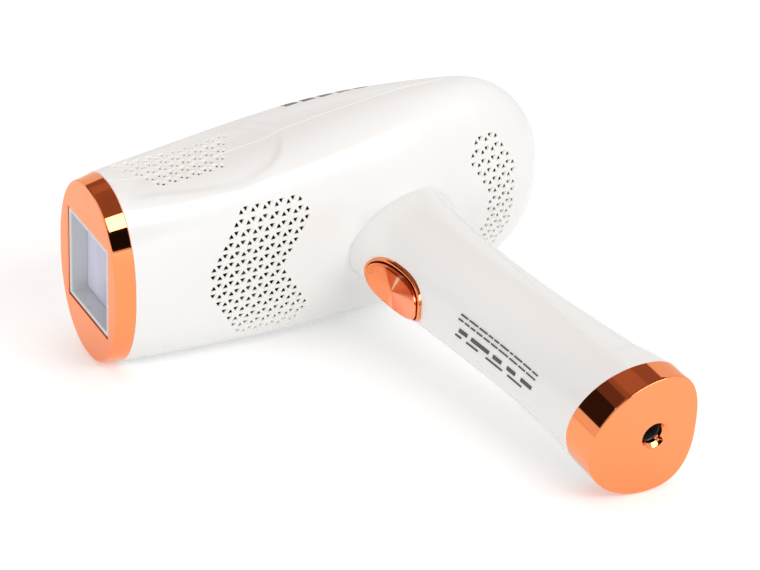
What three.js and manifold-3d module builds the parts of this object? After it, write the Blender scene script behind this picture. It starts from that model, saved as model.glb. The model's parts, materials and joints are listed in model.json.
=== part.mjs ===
// IPL hair remover: a hand piece with a flash lamp behind a window in the nose of a wide
// head, a trigger in the front of the handle and a power socket in the end cap.
//
// Millimetres. The hand piece is designed in its own frame: x runs from the nose face to the
// tail of the head, y from the handle's end up through the head, and z across, with the
// mirror plane at z = 0. The last step lays it down on its side, where it rests on the nose
// ring, the head and the end cap, with +Z up.
import * as THREE from 'three';
import { mergeGeometries, mergeVertices } from 'three/addons/utils/BufferGeometryUtils.js';
import Module from 'manifold-3d';

const wasm = await Module();
wasm.setup();

// ---------------------------------------------------------------- driving dimensions

const GAP = 0.3;                 // clearance between pieces that meet
const SLIDE_GAP = 0.35;          // clearance round a piece that slides
const WALL = 2.2;                // wall of the moulded casings

// nose ring
const RING_DEPTH = 6.2;          // along x
const RING_HALF_HEIGHT = 19.6;   // its face, along y
const RING_HALF_WIDTH = 30.5;    // its face, along z
const RING_FLARE = 1.1;          // how much wider it is at the back
const RING_BEVEL = 0.8;
const RING_PLATE = 2.2;          // thickness of the face
const RING_WALL = 1.6;
const RING_SQUARENESS = 2.2;     // exponent of its superellipse
const NOSE_CENTRE_Y = 22.8;

// window and lamp
const WINDOW_HEIGHT = 27.8;      // along y
const WINDOW_WIDTH = 32.2;       // along z
const WINDOW_DEPTH = 6.9;        // nose face to filter glass
const FRAME_RIM = 1.4;
const FRAME_FLANGE = 1.4;
const GLASS_THICKNESS = 2.6;
const CARTRIDGE_DEPTH = 20;
const CARTRIDGE_HEIGHT = 30;
const CARTRIDGE_WIDTH = 34;
const CARTRIDGE_WALL = 1.4;
const REFLECTOR_DEPTH = 12.5;
const REFLECTOR_WALL = 0.7;
const LAMP_DIAMETER = 6;
const LAMP_HOLDER_THICKNESS = 2;

// cooling
const SINK_BASE = 2;
const SINK_DEPTH = 12;
const SINK_FINS = 8;
const SINK_FIN_THICKNESS = 1;
const FAN_SIZE = 36;
const FAN_DEPTH = 10;
const FAN_BORE = 33;
const FAN_HUB_DIAMETER = 14;
const FAN_SHAFT_DIAMETER = 2;
const FAN_BLADES = 7;
const FAN_BLADE_CHORD = 6;
const FAN_BLADE_PITCH = THREE.MathUtils.degToRad(52);
const FAN_HUB_NOSE = 1.6;        // thickness of the hub in front of the shaft
const FAN_ARMS = 3;
const FAN_ARM_WIDTH = 2.4;
const FAN_ARM_TURN = 0.4;        // turns the arms away from the frame's sides, radians

// head: its sections at a third of the length from one another, nose to tail
const HEAD_LENGTH = 148.6;       // behind the nose ring
const HEAD_HALF_WIDTHS = [31.8, 32.9, 37.5, 30.9];
const HEAD_TOPS = [43.6, 46.6, 45.2, 28.3];
const HEAD_BOTTOMS = [2.2, -0.7, -1.0, 4.6];
const HEAD_SQUARENESS = [2.2, 3.1, 2, 2.2];
const TAIL_START = 0.8;          // share of the head's length where the tail rounds off
const TAIL_EXPONENT = 2.36;
const TAIL_CENTRE_Y = 16.9;
const HEAD_PARTING_Y = 22;       // where the upper and lower shells meet

// vents: triangles on a triangular lattice
const VENT_PITCH = 3.9;
const VENT_RIB = 0.68;
const VENT_ROWS = 7;             // on each side of the mirror plane
const FRONT_VENT_X = 43;
const REAR_VENT_X = 131;
const SIDE_VENT_X = 20.5;
const SIDE_VENT_ROWS = 5;
const SIDE_ROWS_BELOW = 2;       // rows below the joint of the head shells
const SIDE_VENT_HOLES = 12;      // in the lowest row

// handle: its sections at a third of the length from one another, head to cap
const HANDLE_LENGTH = 111.5;
const HANDLE_FRONTS = [75, 79.3, 84.4, 86.4];
const HANDLE_BACKS = [113.6, 112.3, 117.6, 123.2];
const HANDLE_HALF_WIDTHS = [15.4, 15.9, 16.3, 19.9];
const HANDLE_WIDEST = 0.62;      // share of the depth at which it is widest
const HANDLE_FRONT_SQUARENESS = 1.92;
const HANDLE_BACK_SQUARENESS = 2.57;
const HANDLE_PARTING_X = 104.7;  // where the front and back shells meet

// end cap and power socket
const CAP_HEIGHT = 8.8;          // on the axis of the socket
const CAP_TILT = THREE.MathUtils.degToRad(8);
const CAP_BEVEL = 0.7;
const CAP_FLOOR = 2.4;
const CAP_PROUD = 0.1;           // how far it stands out from the handle
const SOCKET_X = 108.8;
const SOCKET_BORE = 6.4;
const SOCKET_CHAMFER = 1.2;
const SOCKET_BODY_DIAMETER = 9;
const SOCKET_BODY_LENGTH = 11;
const SOCKET_END = 2;            // closed end of its body
const SOCKET_PIN_DIAMETER = 2;
const SOCKET_PIN_RECESS = 1.2;   // the pin's tip behind the end of the socket's body
const SOCKET_NUT_DIAMETER = 12;
const SOCKET_NUT_HEIGHT = 2;

// trigger
const TRIGGER_Y = -26;
const TRIGGER_LENGTH = 24.6;     // along the handle
const TRIGGER_WIDTH = 13.2;
const TRIGGER_SQUARENESS = 2.4;  // exponent of its superellipse
const TRIGGER_TRAVEL = 1.2;
const TRIGGER_PROUD = 1.2;       // how far its rim stands out from the handle
const TRIGGER_BODY = 6.4;        // thickness outside its flange
const TRIGGER_CURVE = 0.6;       // share of the handle's roundness that its face follows
const TRIGGER_FLANGE = 1.2;
const TRIGGER_DISH = 0.7;
const TRIGGER_RING_WIDTH = 0.8;
const TRIGGER_RING_SEAT = 1.3;   // depth of its seat in the handle
const TRIGGER_RING_PROUD = 0.6;
const TRIGGER_LIP = 1;           // how far the flange reaches past the opening's edge
const STEM_DIAMETER = 4.4;
const SPRING_LENGTH = 5.6;
const SPRING_DIAMETER = 10.2;    // across the middle of the wire
const SPRING_WIRE = 0.6;
const SPRING_TURNS = 4;
const SPRING_WIRE_SIDES = 4;

// small switches, one under each button
const SWITCH_SIZE = 6;
const SWITCH_HEIGHT = 3.4;
const PLUNGER_DIAMETER = 3;
const PLUNGER_HEIGHT = 1.6;      // outside the switch
const PLUNGER_DEPTH = 1.4;       // inside it

// boards
const BOARD_THICKNESS = 1.6;
const POWER_BOARD_X = 62;
const POWER_BOARD_LENGTH = 62;
const POWER_BOARD_WIDTH = 48;
const POWER_BOARD_Y = 11;
const CAPACITOR_ROOM = 0.6;      // between the capacitor and the display board above it
const CAPACITOR_LENGTH = 52;
const CAPACITOR_Z = -11.5;
const TRANSFORMER_SIZE = [20, 15, 16];
const TRANSFORMER_X = 80;
const TRANSFORMER_YOKE = 3;      // thickness of the core beyond the winding's ends
const TRANSFORMER_LEG = 4.8;     // diameter of the core's leg inside the winding
const WINDING_DIAMETER = 10;
const PARTS_Z = 12;              // row of the transformer and the trigger coil
const COIL_DIAMETER = 8;
const COIL_LENGTH = 10;
const COIL_X = 108;
const CONTROL_BOARD_X = 97;
const CONTROL_BOARD_ENDS = 10.5; // between its ends and the handle screws
const CONTROL_BOARD_WIDTH = 20;
const CHIP_SIZE = 9;
const CHIP_THICKNESS = 1.4;
const LEAD_DIAMETER = 1.8;
const LEAD_X = 105.5;
const LEAD_Z = 6.2;

// display and power button in the upper shell
const DISPLAY_X = 100;
const DISPLAY_LENGTH = 26;
const DISPLAY_WIDTH = 15;
const POWER_BUTTON_X = 77;
const POWER_BUTTON_DIAMETER = 11;
const POWER_BUTTON_TRAVEL = 0.6;
const DISPLAY_BOARD_DROP = 8.4;  // below the top of the head, at the tail end of the display

// fasteners
const SCREW_DIAMETER = 2.6;
const SCREW_HEAD_DIAMETER = 5;
const SCREW_HEAD_HEIGHT = 1.8;
const SCREW_LENGTH = 15;
const SCREW_SEAT = 3.2;          // casing under the head of a handle screw
const BOARD_SCREW_LENGTH = 7;
const BOSS_WALL = 1.9;
const HANDLE_SCREW_CLEAR = 4.1;  // from the trigger to the upper handle screw
const HANDLE_SCREW_RISE = 18.5;  // from the end of the handle to the lower one

const ROUND = 20;                // sides of a large round
const SMALL_ROUND = 10;          // sides of a small round

// ---------------------------------------------------------------- materials

function finish(color, roughness, metalness) {
  return new THREE.MeshStandardMaterial({ color, roughness, metalness });
}
const pearl = finish(0xf1efec, 0.28, 0);
const roseGold = finish(0xf0a07c, 0.12, 1);
const whitePlastic = finish(0xf4f3f8, 0.35, 0);
const filterGlass = finish(0xd9d4ee, 0.05, 0);
const lampGlass = finish(0xe8eef2, 0.04, 0);
const mirrorAluminium = finish(0xdfe2e4, 0.1, 1);
const castAluminium = finish(0xb4b7ba, 0.4, 1);
const steel = finish(0xbfc1c4, 0.3, 1);
const blackPlastic = finish(0x1d1d20, 0.5, 0);
const ceramic = finish(0xf2eee4, 0.55, 0);
const boardGreen = finish(0x1f5a3c, 0.5, 0);
const copper = finish(0xb06a3a, 0.35, 1);
const smokedLens = finish(0x121216, 0.06, 0);
const redSheath = finish(0xa02a22, 0.5, 0);

// ---------------------------------------------------------------- solids

function solidOf(geometry) {
  const bare = geometry.clone();
  bare.deleteAttribute('normal');
  bare.deleteAttribute('uv');
  const merged = mergeVertices(bare, 1e-4);
  const mesh = new wasm.Mesh({
    numProp: 3,
    vertProperties: merged.getAttribute('position').array,
    triVerts: new Uint32Array(merged.getIndex().array),
  });
  return new wasm.Manifold(mesh);
}

function geometryOf(solid) {
  const mesh = solid.getMesh();
  const geometry = new THREE.BufferGeometry();
  geometry.setAttribute('position', new THREE.BufferAttribute(new Float32Array(mesh.vertProperties), 3));
  geometry.setIndex(new THREE.BufferAttribute(new Uint32Array(mesh.triVerts), 1));
  geometry.computeVertexNormals();
  return geometry;
}

// A solid through rings of equal length, with a point at each end.
function loft(rings, startPoint, endPoint) {
  const count = rings[0].length;
  const points = [startPoint, ...rings.flat(), endPoint];
  const last = points.length - 1;
  const index = [];
  for (let i = 0; i < count; i += 1) {
    const next = (i + 1) % count;
    index.push(0, 1 + next, 1 + i);
    index.push(last, last - count + i, last - count + next);
  }
  for (let ring = 0; ring < rings.length - 1; ring += 1) {
    const base = 1 + ring * count;
    for (let i = 0; i < count; i += 1) {
      const next = (i + 1) % count;
      index.push(base + i, base + next, base + count + next);
      index.push(base + i, base + count + next, base + count + i);
    }
  }
  const geometry = new THREE.BufferGeometry().setFromPoints(points);
  geometry.setIndex(index);
  return facingOut(geometry);
}

function facingOut(geometry) {
  const position = geometry.getAttribute('position');
  const index = geometry.getIndex();
  const [a, b, c] = [new THREE.Vector3(), new THREE.Vector3(), new THREE.Vector3()];
  let volume = 0;
  for (let i = 0; i < index.count; i += 3) {
    a.fromBufferAttribute(position, index.getX(i));
    b.fromBufferAttribute(position, index.getX(i + 1));
    c.fromBufferAttribute(position, index.getX(i + 2));
    volume += a.dot(b.cross(c));
  }
  if (volume < 0) {
    for (let i = 0; i < index.count; i += 3) {
      const first = index.getX(i);
      index.setX(i, index.getX(i + 1));
      index.setX(i + 1, first);
    }
  }
  return geometry;
}

function box(xSize, ySize, zSize, x, y, z) {
  return solidOf(new THREE.BoxGeometry(xSize, ySize, zSize).translate(x, y, z));
}

// A round bar from one point to another.
function bar(diameter, from, to, sides = SMALL_ROUND, endDiameter = diameter) {
  const axis = to.clone().sub(from);
  const geometry = new THREE.CylinderGeometry(endDiameter / 2, diameter / 2, axis.length(), sides);
  geometry.applyQuaternion(new THREE.Quaternion().setFromUnitVectors(
    new THREE.Vector3(0, 1, 0), axis.clone().normalize()));
  geometry.translate(...from.clone().add(to).multiplyScalar(0.5).toArray());
  return solidOf(geometry);
}

function at(x, y, z) {
  return new THREE.Vector3(x, y, z);
}

// ---------------------------------------------------------------- outline formulas

// The cubic through four values a third of the way from one another.
function through(values, t) {
  const [a, b, c, d] = values;
  return (a * (1 - 3 * t) * (2 - 3 * t) * (1 - t) + d * t * (1 - 3 * t) * (2 - 3 * t)) / 2
    + (b * 9 * t * (2 - 3 * t) * (1 - t) - c * 9 * t * (1 - 3 * t) * (1 - t)) / 2;
}

function signedPower(value, exponent) {
  return Math.sign(value) * Math.abs(value) ** exponent;
}

// Points round a superellipse: first its reach along y, then along z.
function superellipse(halfHeight, halfWidth, squareness, sides) {
  const points = [];
  for (let i = 0; i < sides; i += 1) {
    const angle = (i / sides) * 2 * Math.PI;
    points.push([
      halfHeight * signedPower(Math.sin(angle), 2 / squareness),
      halfWidth * signedPower(Math.cos(angle), 2 / squareness),
    ]);
  }
  return points;
}

const HEAD_SIDES = 28;

function headSection(share, inset) {
  const tail = Math.max(0, (share - TAIL_START) / (1 - TAIL_START));
  const rounding = (1 - tail ** TAIL_EXPONENT) ** (1 / TAIL_EXPONENT);
  const top = TAIL_CENTRE_Y + (through(HEAD_TOPS, share) - TAIL_CENTRE_Y) * rounding;
  const bottom = TAIL_CENTRE_Y + (through(HEAD_BOTTOMS, share) - TAIL_CENTRE_Y) * rounding;
  return {
    x: RING_DEPTH + GAP + (HEAD_LENGTH - GAP - inset) * share,
    centreY: (top + bottom) / 2,
    halfHeight: Math.max(0.5, (top - bottom) / 2 - inset),
    halfWidth: Math.max(0.5, through(HEAD_HALF_WIDTHS, share) * rounding - inset),
    squareness: through(HEAD_SQUARENESS, share),
  };
}

function headShare(x) {
  return (x - RING_DEPTH - GAP) / (HEAD_LENGTH - GAP);
}

// The head's solid shape, moved in by inset all round, or out where inset is negative.
function headSolid(inset, noseReach = 0) {
  const shares = [0, 0.15, 0.3, 0.45, 0.6, 0.7, TAIL_START];
  for (const angle of [24, 46, 64, 79]) {
    shares.push(TAIL_START + (1 - TAIL_START) * Math.sin(THREE.MathUtils.degToRad(angle)));
  }
  const sections = shares.map((share) => headSection(share, inset));
  sections[0].x -= noseReach;
  const rings = sections.map((section) => (
    superellipse(section.halfHeight, section.halfWidth, section.squareness, HEAD_SIDES)
      .map(([y, z]) => at(section.x, section.centreY + y, z))));
  const nose = at(sections[0].x, sections[0].centreY, 0);
  const tail = at(RING_DEPTH + HEAD_LENGTH - inset, TAIL_CENTRE_Y, 0);
  return solidOf(loft(rings, nose, tail));
}

const HANDLE_SIDES = 24;

function handleSection(share, inset) {
  const front = through(HANDLE_FRONTS, share) + inset;
  const back = through(HANDLE_BACKS, share) - inset;
  const widest = front + (back - front) * HANDLE_WIDEST;
  return { front, back, widest, halfWidth: through(HANDLE_HALF_WIDTHS, share) - inset };
}

// The handle's outline at one height, as points [x, z] round the section.
function handleOutline(section) {
  const points = [];
  for (let i = 0; i < HANDLE_SIDES; i += 1) {
    const angle = (i / HANDLE_SIDES) * 2 * Math.PI;
    const forward = Math.cos(angle) < 0;
    const squareness = forward ? HANDLE_FRONT_SQUARENESS : HANDLE_BACK_SQUARENESS;
    const reach = forward ? section.widest - section.front : section.back - section.widest;
    points.push([
      section.widest + reach * signedPower(Math.cos(angle), 2 / squareness),
      section.halfWidth * signedPower(Math.sin(angle), 2 / squareness),
    ]);
  }
  return points;
}

// Height of the tilted joint between the handle and the end cap.
function capJointY(x) {
  return -HANDLE_LENGTH - (x - SOCKET_X) * Math.tan(CAP_TILT);
}

// The handle from a height up in the head down to its joint with the cap.
function handleSolid(inset, topY, jointGap) {
  const steps = 7;
  const rings = [];
  for (let step = 0; step <= steps; step += 1) {
    const share = step / steps;
    const y = -HANDLE_LENGTH * share;
    const ring = handleOutline(handleSection(share, inset));
    rings.push(ring.map(([x, z]) => {
      const end = capJointY(x) + jointGap;
      return at(x, THREE.MathUtils.lerp(y, y + end + HANDLE_LENGTH, share), z);
    }));
  }
  const raised = rings[0].map((point) => at(point.x, topY, point.z));
  rings.unshift(raised);
  const middle = handleSection(1, inset).widest;
  return solidOf(loft(rings, at(middle, topY, 0), at(middle, capJointY(middle) + jointGap, 0)));
}

// ---------------------------------------------------------------- the assembly

const device = new THREE.Group();

function add(name, shape, material) {
  const mesh = new THREE.Mesh(shape.isBufferGeometry ? shape : geometryOf(shape), material);
  mesh.name = name;
  device.add(mesh);
  return mesh;
}

// ---- nose ring

function ringSolid(inset, fromX, toX, bevel) {
  const flareAt = (x) => RING_FLARE * (x / RING_DEPTH);
  const ringAt = (x, less) => superellipse(
    RING_HALF_HEIGHT + flareAt(x) - less, RING_HALF_WIDTH + flareAt(x) - less, RING_SQUARENESS, HEAD_SIDES)
    .map(([y, z]) => at(x, NOSE_CENTRE_Y + y, z));
  const rings = [ringAt(fromX, inset + bevel)];
  if (bevel > 0) {
    rings.push(ringAt(fromX + bevel, inset));
  }
  rings.push(ringAt(toX, inset));
  return solidOf(loft(rings, at(fromX, NOSE_CENTRE_Y, 0), at(toX, NOSE_CENTRE_Y, 0)));
}

function makeNoseRing() {
  const outside = ringSolid(0, 0, RING_DEPTH, RING_BEVEL);
  const inside = ringSolid(RING_WALL, RING_PLATE, RING_DEPTH + 1, 0);
  const window = box(4 * RING_PLATE, WINDOW_HEIGHT, WINDOW_WIDTH, 0, NOSE_CENTRE_Y, 0);
  add('nose_ring', outside.subtract(inside).subtract(window), roseGold);
}

// ---- window frame, filter glass and lamp cartridge

const FRAME_HEIGHT = WINDOW_HEIGHT - 2 * GAP;
const FRAME_WIDTH = WINDOW_WIDTH - 2 * GAP;
const CLEAR_HEIGHT = FRAME_HEIGHT - 2 * FRAME_RIM;
const CLEAR_WIDTH = FRAME_WIDTH - 2 * FRAME_RIM;
const GLASS_X = WINDOW_DEPTH + GAP;
const CARTRIDGE_BACK_X = GLASS_X + CARTRIDGE_DEPTH;
const CARTRIDGE_ROOM_HEIGHT = CARTRIDGE_HEIGHT - 2 * CARTRIDGE_WALL;
const CARTRIDGE_ROOM_WIDTH = CARTRIDGE_WIDTH - 2 * CARTRIDGE_WALL;

function makeWindow() {
  const frameFront = GAP;
  const frameLength = WINDOW_DEPTH - frameFront;
  const tube = box(frameLength, FRAME_HEIGHT, FRAME_WIDTH, frameFront + frameLength / 2, NOSE_CENTRE_Y, 0);
  const flange = box(FRAME_FLANGE, FRAME_HEIGHT + 2 * FRAME_FLANGE, FRAME_WIDTH + 2 * FRAME_FLANGE,
    RING_PLATE + GAP + FRAME_FLANGE / 2, NOSE_CENTRE_Y, 0);
  const opening = box(4 * WINDOW_DEPTH, CLEAR_HEIGHT, CLEAR_WIDTH, 0, NOSE_CENTRE_Y, 0);
  add('window_frame', tube.add(flange).subtract(opening), whitePlastic);

  const glass = new THREE.BoxGeometry(
    GLASS_THICKNESS, CARTRIDGE_ROOM_HEIGHT - 2 * GAP, CARTRIDGE_ROOM_WIDTH - 2 * GAP);
  add('filter_glass', glass, filterGlass).position.set(GLASS_X + GLASS_THICKNESS / 2, NOSE_CENTRE_Y, 0);
}

const REFLECTOR_X = GLASS_X + GLASS_THICKNESS + GAP;
const HOLDER_OUTER_Z = CARTRIDGE_ROOM_WIDTH / 2 - GAP;
const HOLDER_INNER_Z = HOLDER_OUTER_Z - LAMP_HOLDER_THICKNESS;
const REFLECTOR_LENGTH = 2 * (HOLDER_INNER_Z - GAP);
const LAMP_X = REFLECTOR_X + REFLECTOR_DEPTH * 0.62;

function makeCartridge() {
  const shell = box(CARTRIDGE_DEPTH, CARTRIDGE_HEIGHT, CARTRIDGE_WIDTH,
    GLASS_X + CARTRIDGE_DEPTH / 2, NOSE_CENTRE_Y, 0);
  const room = box(CARTRIDGE_DEPTH, CARTRIDGE_ROOM_HEIGHT, CARTRIDGE_ROOM_WIDTH,
    GLASS_X + CARTRIDGE_DEPTH / 2 - CARTRIDGE_WALL, NOSE_CENTRE_Y, 0);
  add('lamp_cartridge', shell.subtract(room), blackPlastic);

  // reflector: a trough with an elliptical floor, drawn in x and y and run along z
  const half = CARTRIDGE_ROOM_HEIGHT / 2 - GAP;
  const outline = new THREE.Shape();
  outline.moveTo(0, half);
  outline.absellipse(0, 0, REFLECTOR_DEPTH, half, Math.PI / 2, -Math.PI / 2, true);
  outline.lineTo(0, -half + REFLECTOR_WALL);
  outline.absellipse(0, 0, REFLECTOR_DEPTH - REFLECTOR_WALL, half - REFLECTOR_WALL,
    -Math.PI / 2, Math.PI / 2, false);
  const trough = new THREE.ExtrudeGeometry(outline, {
    depth: REFLECTOR_LENGTH, bevelEnabled: false, curveSegments: 10,
  });
  trough.translate(REFLECTOR_X, NOSE_CENTRE_Y, -REFLECTOR_LENGTH / 2);
  add('reflector', solidOf(trough), mirrorAluminium);

  // lamp holders, one at each end of the trough, and the lamp through both
  const lampReach = HOLDER_OUTER_Z - GAP;
  const lamp = bar(LAMP_DIAMETER, at(LAMP_X, NOSE_CENTRE_Y, -lampReach),
    at(LAMP_X, NOSE_CENTRE_Y, lampReach), SMALL_ROUND);
  add('flash_lamp', lamp, lampGlass);
  const seat = bar(LAMP_DIAMETER + 2 * GAP, at(LAMP_X, NOSE_CENTRE_Y, -HOLDER_OUTER_Z - 1),
    at(LAMP_X, NOSE_CENTRE_Y, HOLDER_OUTER_Z + 1), SMALL_ROUND);
  for (const [name, side] of [['lamp_holder_upper', 1], ['lamp_holder_lower', -1]]) {
    const block = box(REFLECTOR_DEPTH, CARTRIDGE_ROOM_HEIGHT - 2 * GAP, LAMP_HOLDER_THICKNESS,
      REFLECTOR_X + REFLECTOR_DEPTH / 2, NOSE_CENTRE_Y, side * (HOLDER_INNER_Z + HOLDER_OUTER_Z) / 2);
    add(name, block.subtract(seat), ceramic);
  }
}

// ---- heat sink and fan

const SINK_X = CARTRIDGE_BACK_X + GAP;
const SINK_HEIGHT = CARTRIDGE_HEIGHT - 2;
const FAN_X = SINK_X + SINK_DEPTH + 1.5;
const FAN_SPIDER = 1.4;          // thickness of the arms that carry the shaft
const FAN_BACK_X = FAN_X + FAN_DEPTH;

function makeHeatSink() {
  const outline = new THREE.Shape();
  const half = SINK_HEIGHT / 2;
  const pitch = (SINK_HEIGHT - SINK_FIN_THICKNESS) / (SINK_FINS - 1);
  outline.moveTo(0, -half);
  for (let fin = 0; fin < SINK_FINS; fin += 1) {
    const y = -half + fin * pitch;
    outline.lineTo(fin === 0 ? SINK_DEPTH : SINK_BASE, y);
    outline.lineTo(SINK_DEPTH, y);
    outline.lineTo(SINK_DEPTH, y + SINK_FIN_THICKNESS);
    outline.lineTo(fin === SINK_FINS - 1 ? 0 : SINK_BASE, y + SINK_FIN_THICKNESS);
  }
  const comb = new THREE.ExtrudeGeometry(outline, { depth: CARTRIDGE_WIDTH - 2, bevelEnabled: false });
  comb.translate(SINK_X, NOSE_CENTRE_Y, -(CARTRIDGE_WIDTH - 2) / 2);
  add('heat_sink', solidOf(comb), castAluminium);
}

function makeFan() {
  const spiderX = FAN_BACK_X - FAN_SPIDER;
  const centre = (x) => at(x, NOSE_CENTRE_Y, 0);
  let frame = box(FAN_DEPTH, FAN_SIZE, FAN_SIZE, FAN_X + FAN_DEPTH / 2, NOSE_CENTRE_Y, 0);
  frame = frame.subtract(bar(FAN_BORE, centre(FAN_X - 1), centre(FAN_BACK_X + 1), ROUND));
  const armBox = new THREE.BoxGeometry(FAN_SPIDER, FAN_BORE / 2 + 1, FAN_ARM_WIDTH)
    .translate(spiderX + FAN_SPIDER / 2, FAN_BORE / 4 + 0.5, 0);
  for (let arm = 0; arm < FAN_ARMS; arm += 1) {
    const turned = armBox.clone()
      .rotateX(arm * 2 * Math.PI / FAN_ARMS + FAN_ARM_TURN)
      .translate(0, NOSE_CENTRE_Y, 0);
    frame = frame.add(solidOf(turned));
  }
  frame = frame.add(bar(FAN_HUB_DIAMETER, centre(spiderX), centre(FAN_BACK_X), ROUND));
  frame = frame.subtract(bar(FAN_SHAFT_DIAMETER + 2 * GAP, centre(spiderX - 1), centre(FAN_BACK_X + 1)));
  add('fan_frame', frame, blackPlastic);

  const hubFront = FAN_X + 1;
  const hubBack = spiderX - GAP;
  let rotor = bar(FAN_HUB_DIAMETER, centre(hubFront), centre(hubBack), ROUND);
  const bladeReach = FAN_BORE / 2 - SLIDE_GAP - 0.5;
  const root = FAN_HUB_DIAMETER / 2 - 1;
  const blade = new THREE.BoxGeometry(1, bladeReach - root, FAN_BLADE_CHORD)
    .rotateY(FAN_BLADE_PITCH)
    .translate((hubFront + hubBack) / 2, (bladeReach + root) / 2, 0);
  for (let i = 0; i < FAN_BLADES; i += 1) {
    const turned = blade.clone().rotateX((i / FAN_BLADES) * 2 * Math.PI).translate(0, NOSE_CENTRE_Y, 0);
    rotor = rotor.add(solidOf(turned));
  }
  const shaftFront = hubFront + FAN_HUB_NOSE;
  rotor = rotor.subtract(bar(FAN_SHAFT_DIAMETER + 2 * GAP, centre(shaftFront), centre(hubBack + 1)));
  add('fan_rotor', rotor, blackPlastic);
  add('fan_shaft', bar(FAN_SHAFT_DIAMETER, centre(shaftFront + GAP), centre(FAN_BACK_X)), steel);
}

// ---- vents

// One triangular cutter that points along +y or -y of the plane it is drawn in.
function ventTriangle(depth, sign) {
  const side = VENT_PITCH - VENT_RIB * Math.sqrt(3);
  const reach = side / Math.sqrt(3);
  const outline = new THREE.Shape();
  outline.moveTo(0, sign * reach);
  outline.lineTo(-sign * side / 2, -sign * reach / 2);
  outline.lineTo(sign * side / 2, -sign * reach / 2);
  const prism = new THREE.ExtrudeGeometry(outline, { depth, bevelEnabled: false });
  return prism.translate(0, 0, -depth / 2);
}

// Where a triangle of the lattice sits: half steps along a row, rows a triangle's height apart.
const VENT_ROW_HEIGHT = VENT_PITCH * Math.sqrt(3) / 2;

function latticeTriangle(halfStep, row, depth) {
  const pointsIn = (halfStep + row) % 2 === 0;
  const offset = (pointsIn ? 1 : -1) * VENT_ROW_HEIGHT / 6;
  return ventTriangle(depth, pointsIn ? -1 : 1)
    .translate(halfStep * VENT_PITCH / 2, (row + 0.5) * VENT_ROW_HEIGHT + offset, 0);
}

// Both vents in the underside, as cutters: arrows of rows on each side of the mirror plane.
function undersideVents() {
  const cutters = [];
  for (let row = 0; row < VENT_ROWS; row += 1) {
    const front = [Math.max(-6, row - 7), Math.min(6 + row, 15 - row)];
    const rear = [Math.max(Math.min(-1, -row), row - 9), Math.min(4, 7 - row)];
    for (const [[first, last], centreX, y] of [[front, FRONT_VENT_X, 1.5], [rear, REAR_VENT_X, 3]]) {
      for (let halfStep = first; halfStep <= last; halfStep += 1) {
        for (const side of [1, -1]) {
          const cutter = latticeTriangle(halfStep, row, 14).scale(1, side, side);
          cutters.push(cutter.rotateX(Math.PI / 2).translate(centreX, y, 0));
        }
      }
    }
  }
  return solidOf(mergeGeometries(cutters));
}

// The vents in both sides of the head, as cutters: rows that grow towards the top.
function sideVents() {
  const cutters = [];
  for (let row = 0; row < SIDE_VENT_ROWS; row += 1) {
    for (let halfStep = -row; halfStep < SIDE_VENT_HOLES + row; halfStep += 1) {
      for (const side of [1, -1]) {
        const cutter = latticeTriangle(halfStep + 10, row, 12);
        cutters.push(cutter.translate(
          SIDE_VENT_X - 5 * VENT_PITCH,
          HEAD_PARTING_Y - SIDE_ROWS_BELOW * VENT_ROW_HEIGHT,
          side * HEAD_HALF_WIDTHS[0]));
      }
    }
  }
  return solidOf(mergeGeometries(cutters));
}

// ---- head shells, with the display and the power button

const DISPLAY_END = DISPLAY_X + DISPLAY_LENGTH / 2;
const DISPLAY_BOARD_Y = through(HEAD_TOPS, headShare(DISPLAY_END)) - DISPLAY_BOARD_DROP;
const POWER_BUTTON_TOP = through(HEAD_TOPS, headShare(POWER_BUTTON_X));
const DISPLAY_BOARD_TOP = DISPLAY_BOARD_Y + BOARD_THICKNESS / 2;
const POWER_BOARD_TOP = POWER_BOARD_Y + BOARD_THICKNESS / 2;
const CAPACITOR_DIAMETER = DISPLAY_BOARD_Y - BOARD_THICKNESS / 2 - CAPACITOR_ROOM - POWER_BOARD_TOP - GAP;
const BOARD_SCREWS = [
  [POWER_BOARD_X + 5, POWER_BOARD_WIDTH / 2 - 4],
  [POWER_BOARD_X + 5, 4 - POWER_BOARD_WIDTH / 2],
  [POWER_BOARD_X + POWER_BOARD_LENGTH - 6, POWER_BOARD_WIDTH / 2 - 5],
  [POWER_BOARD_X + POWER_BOARD_LENGTH - 6, 5 - POWER_BOARD_WIDTH / 2],
];

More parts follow.
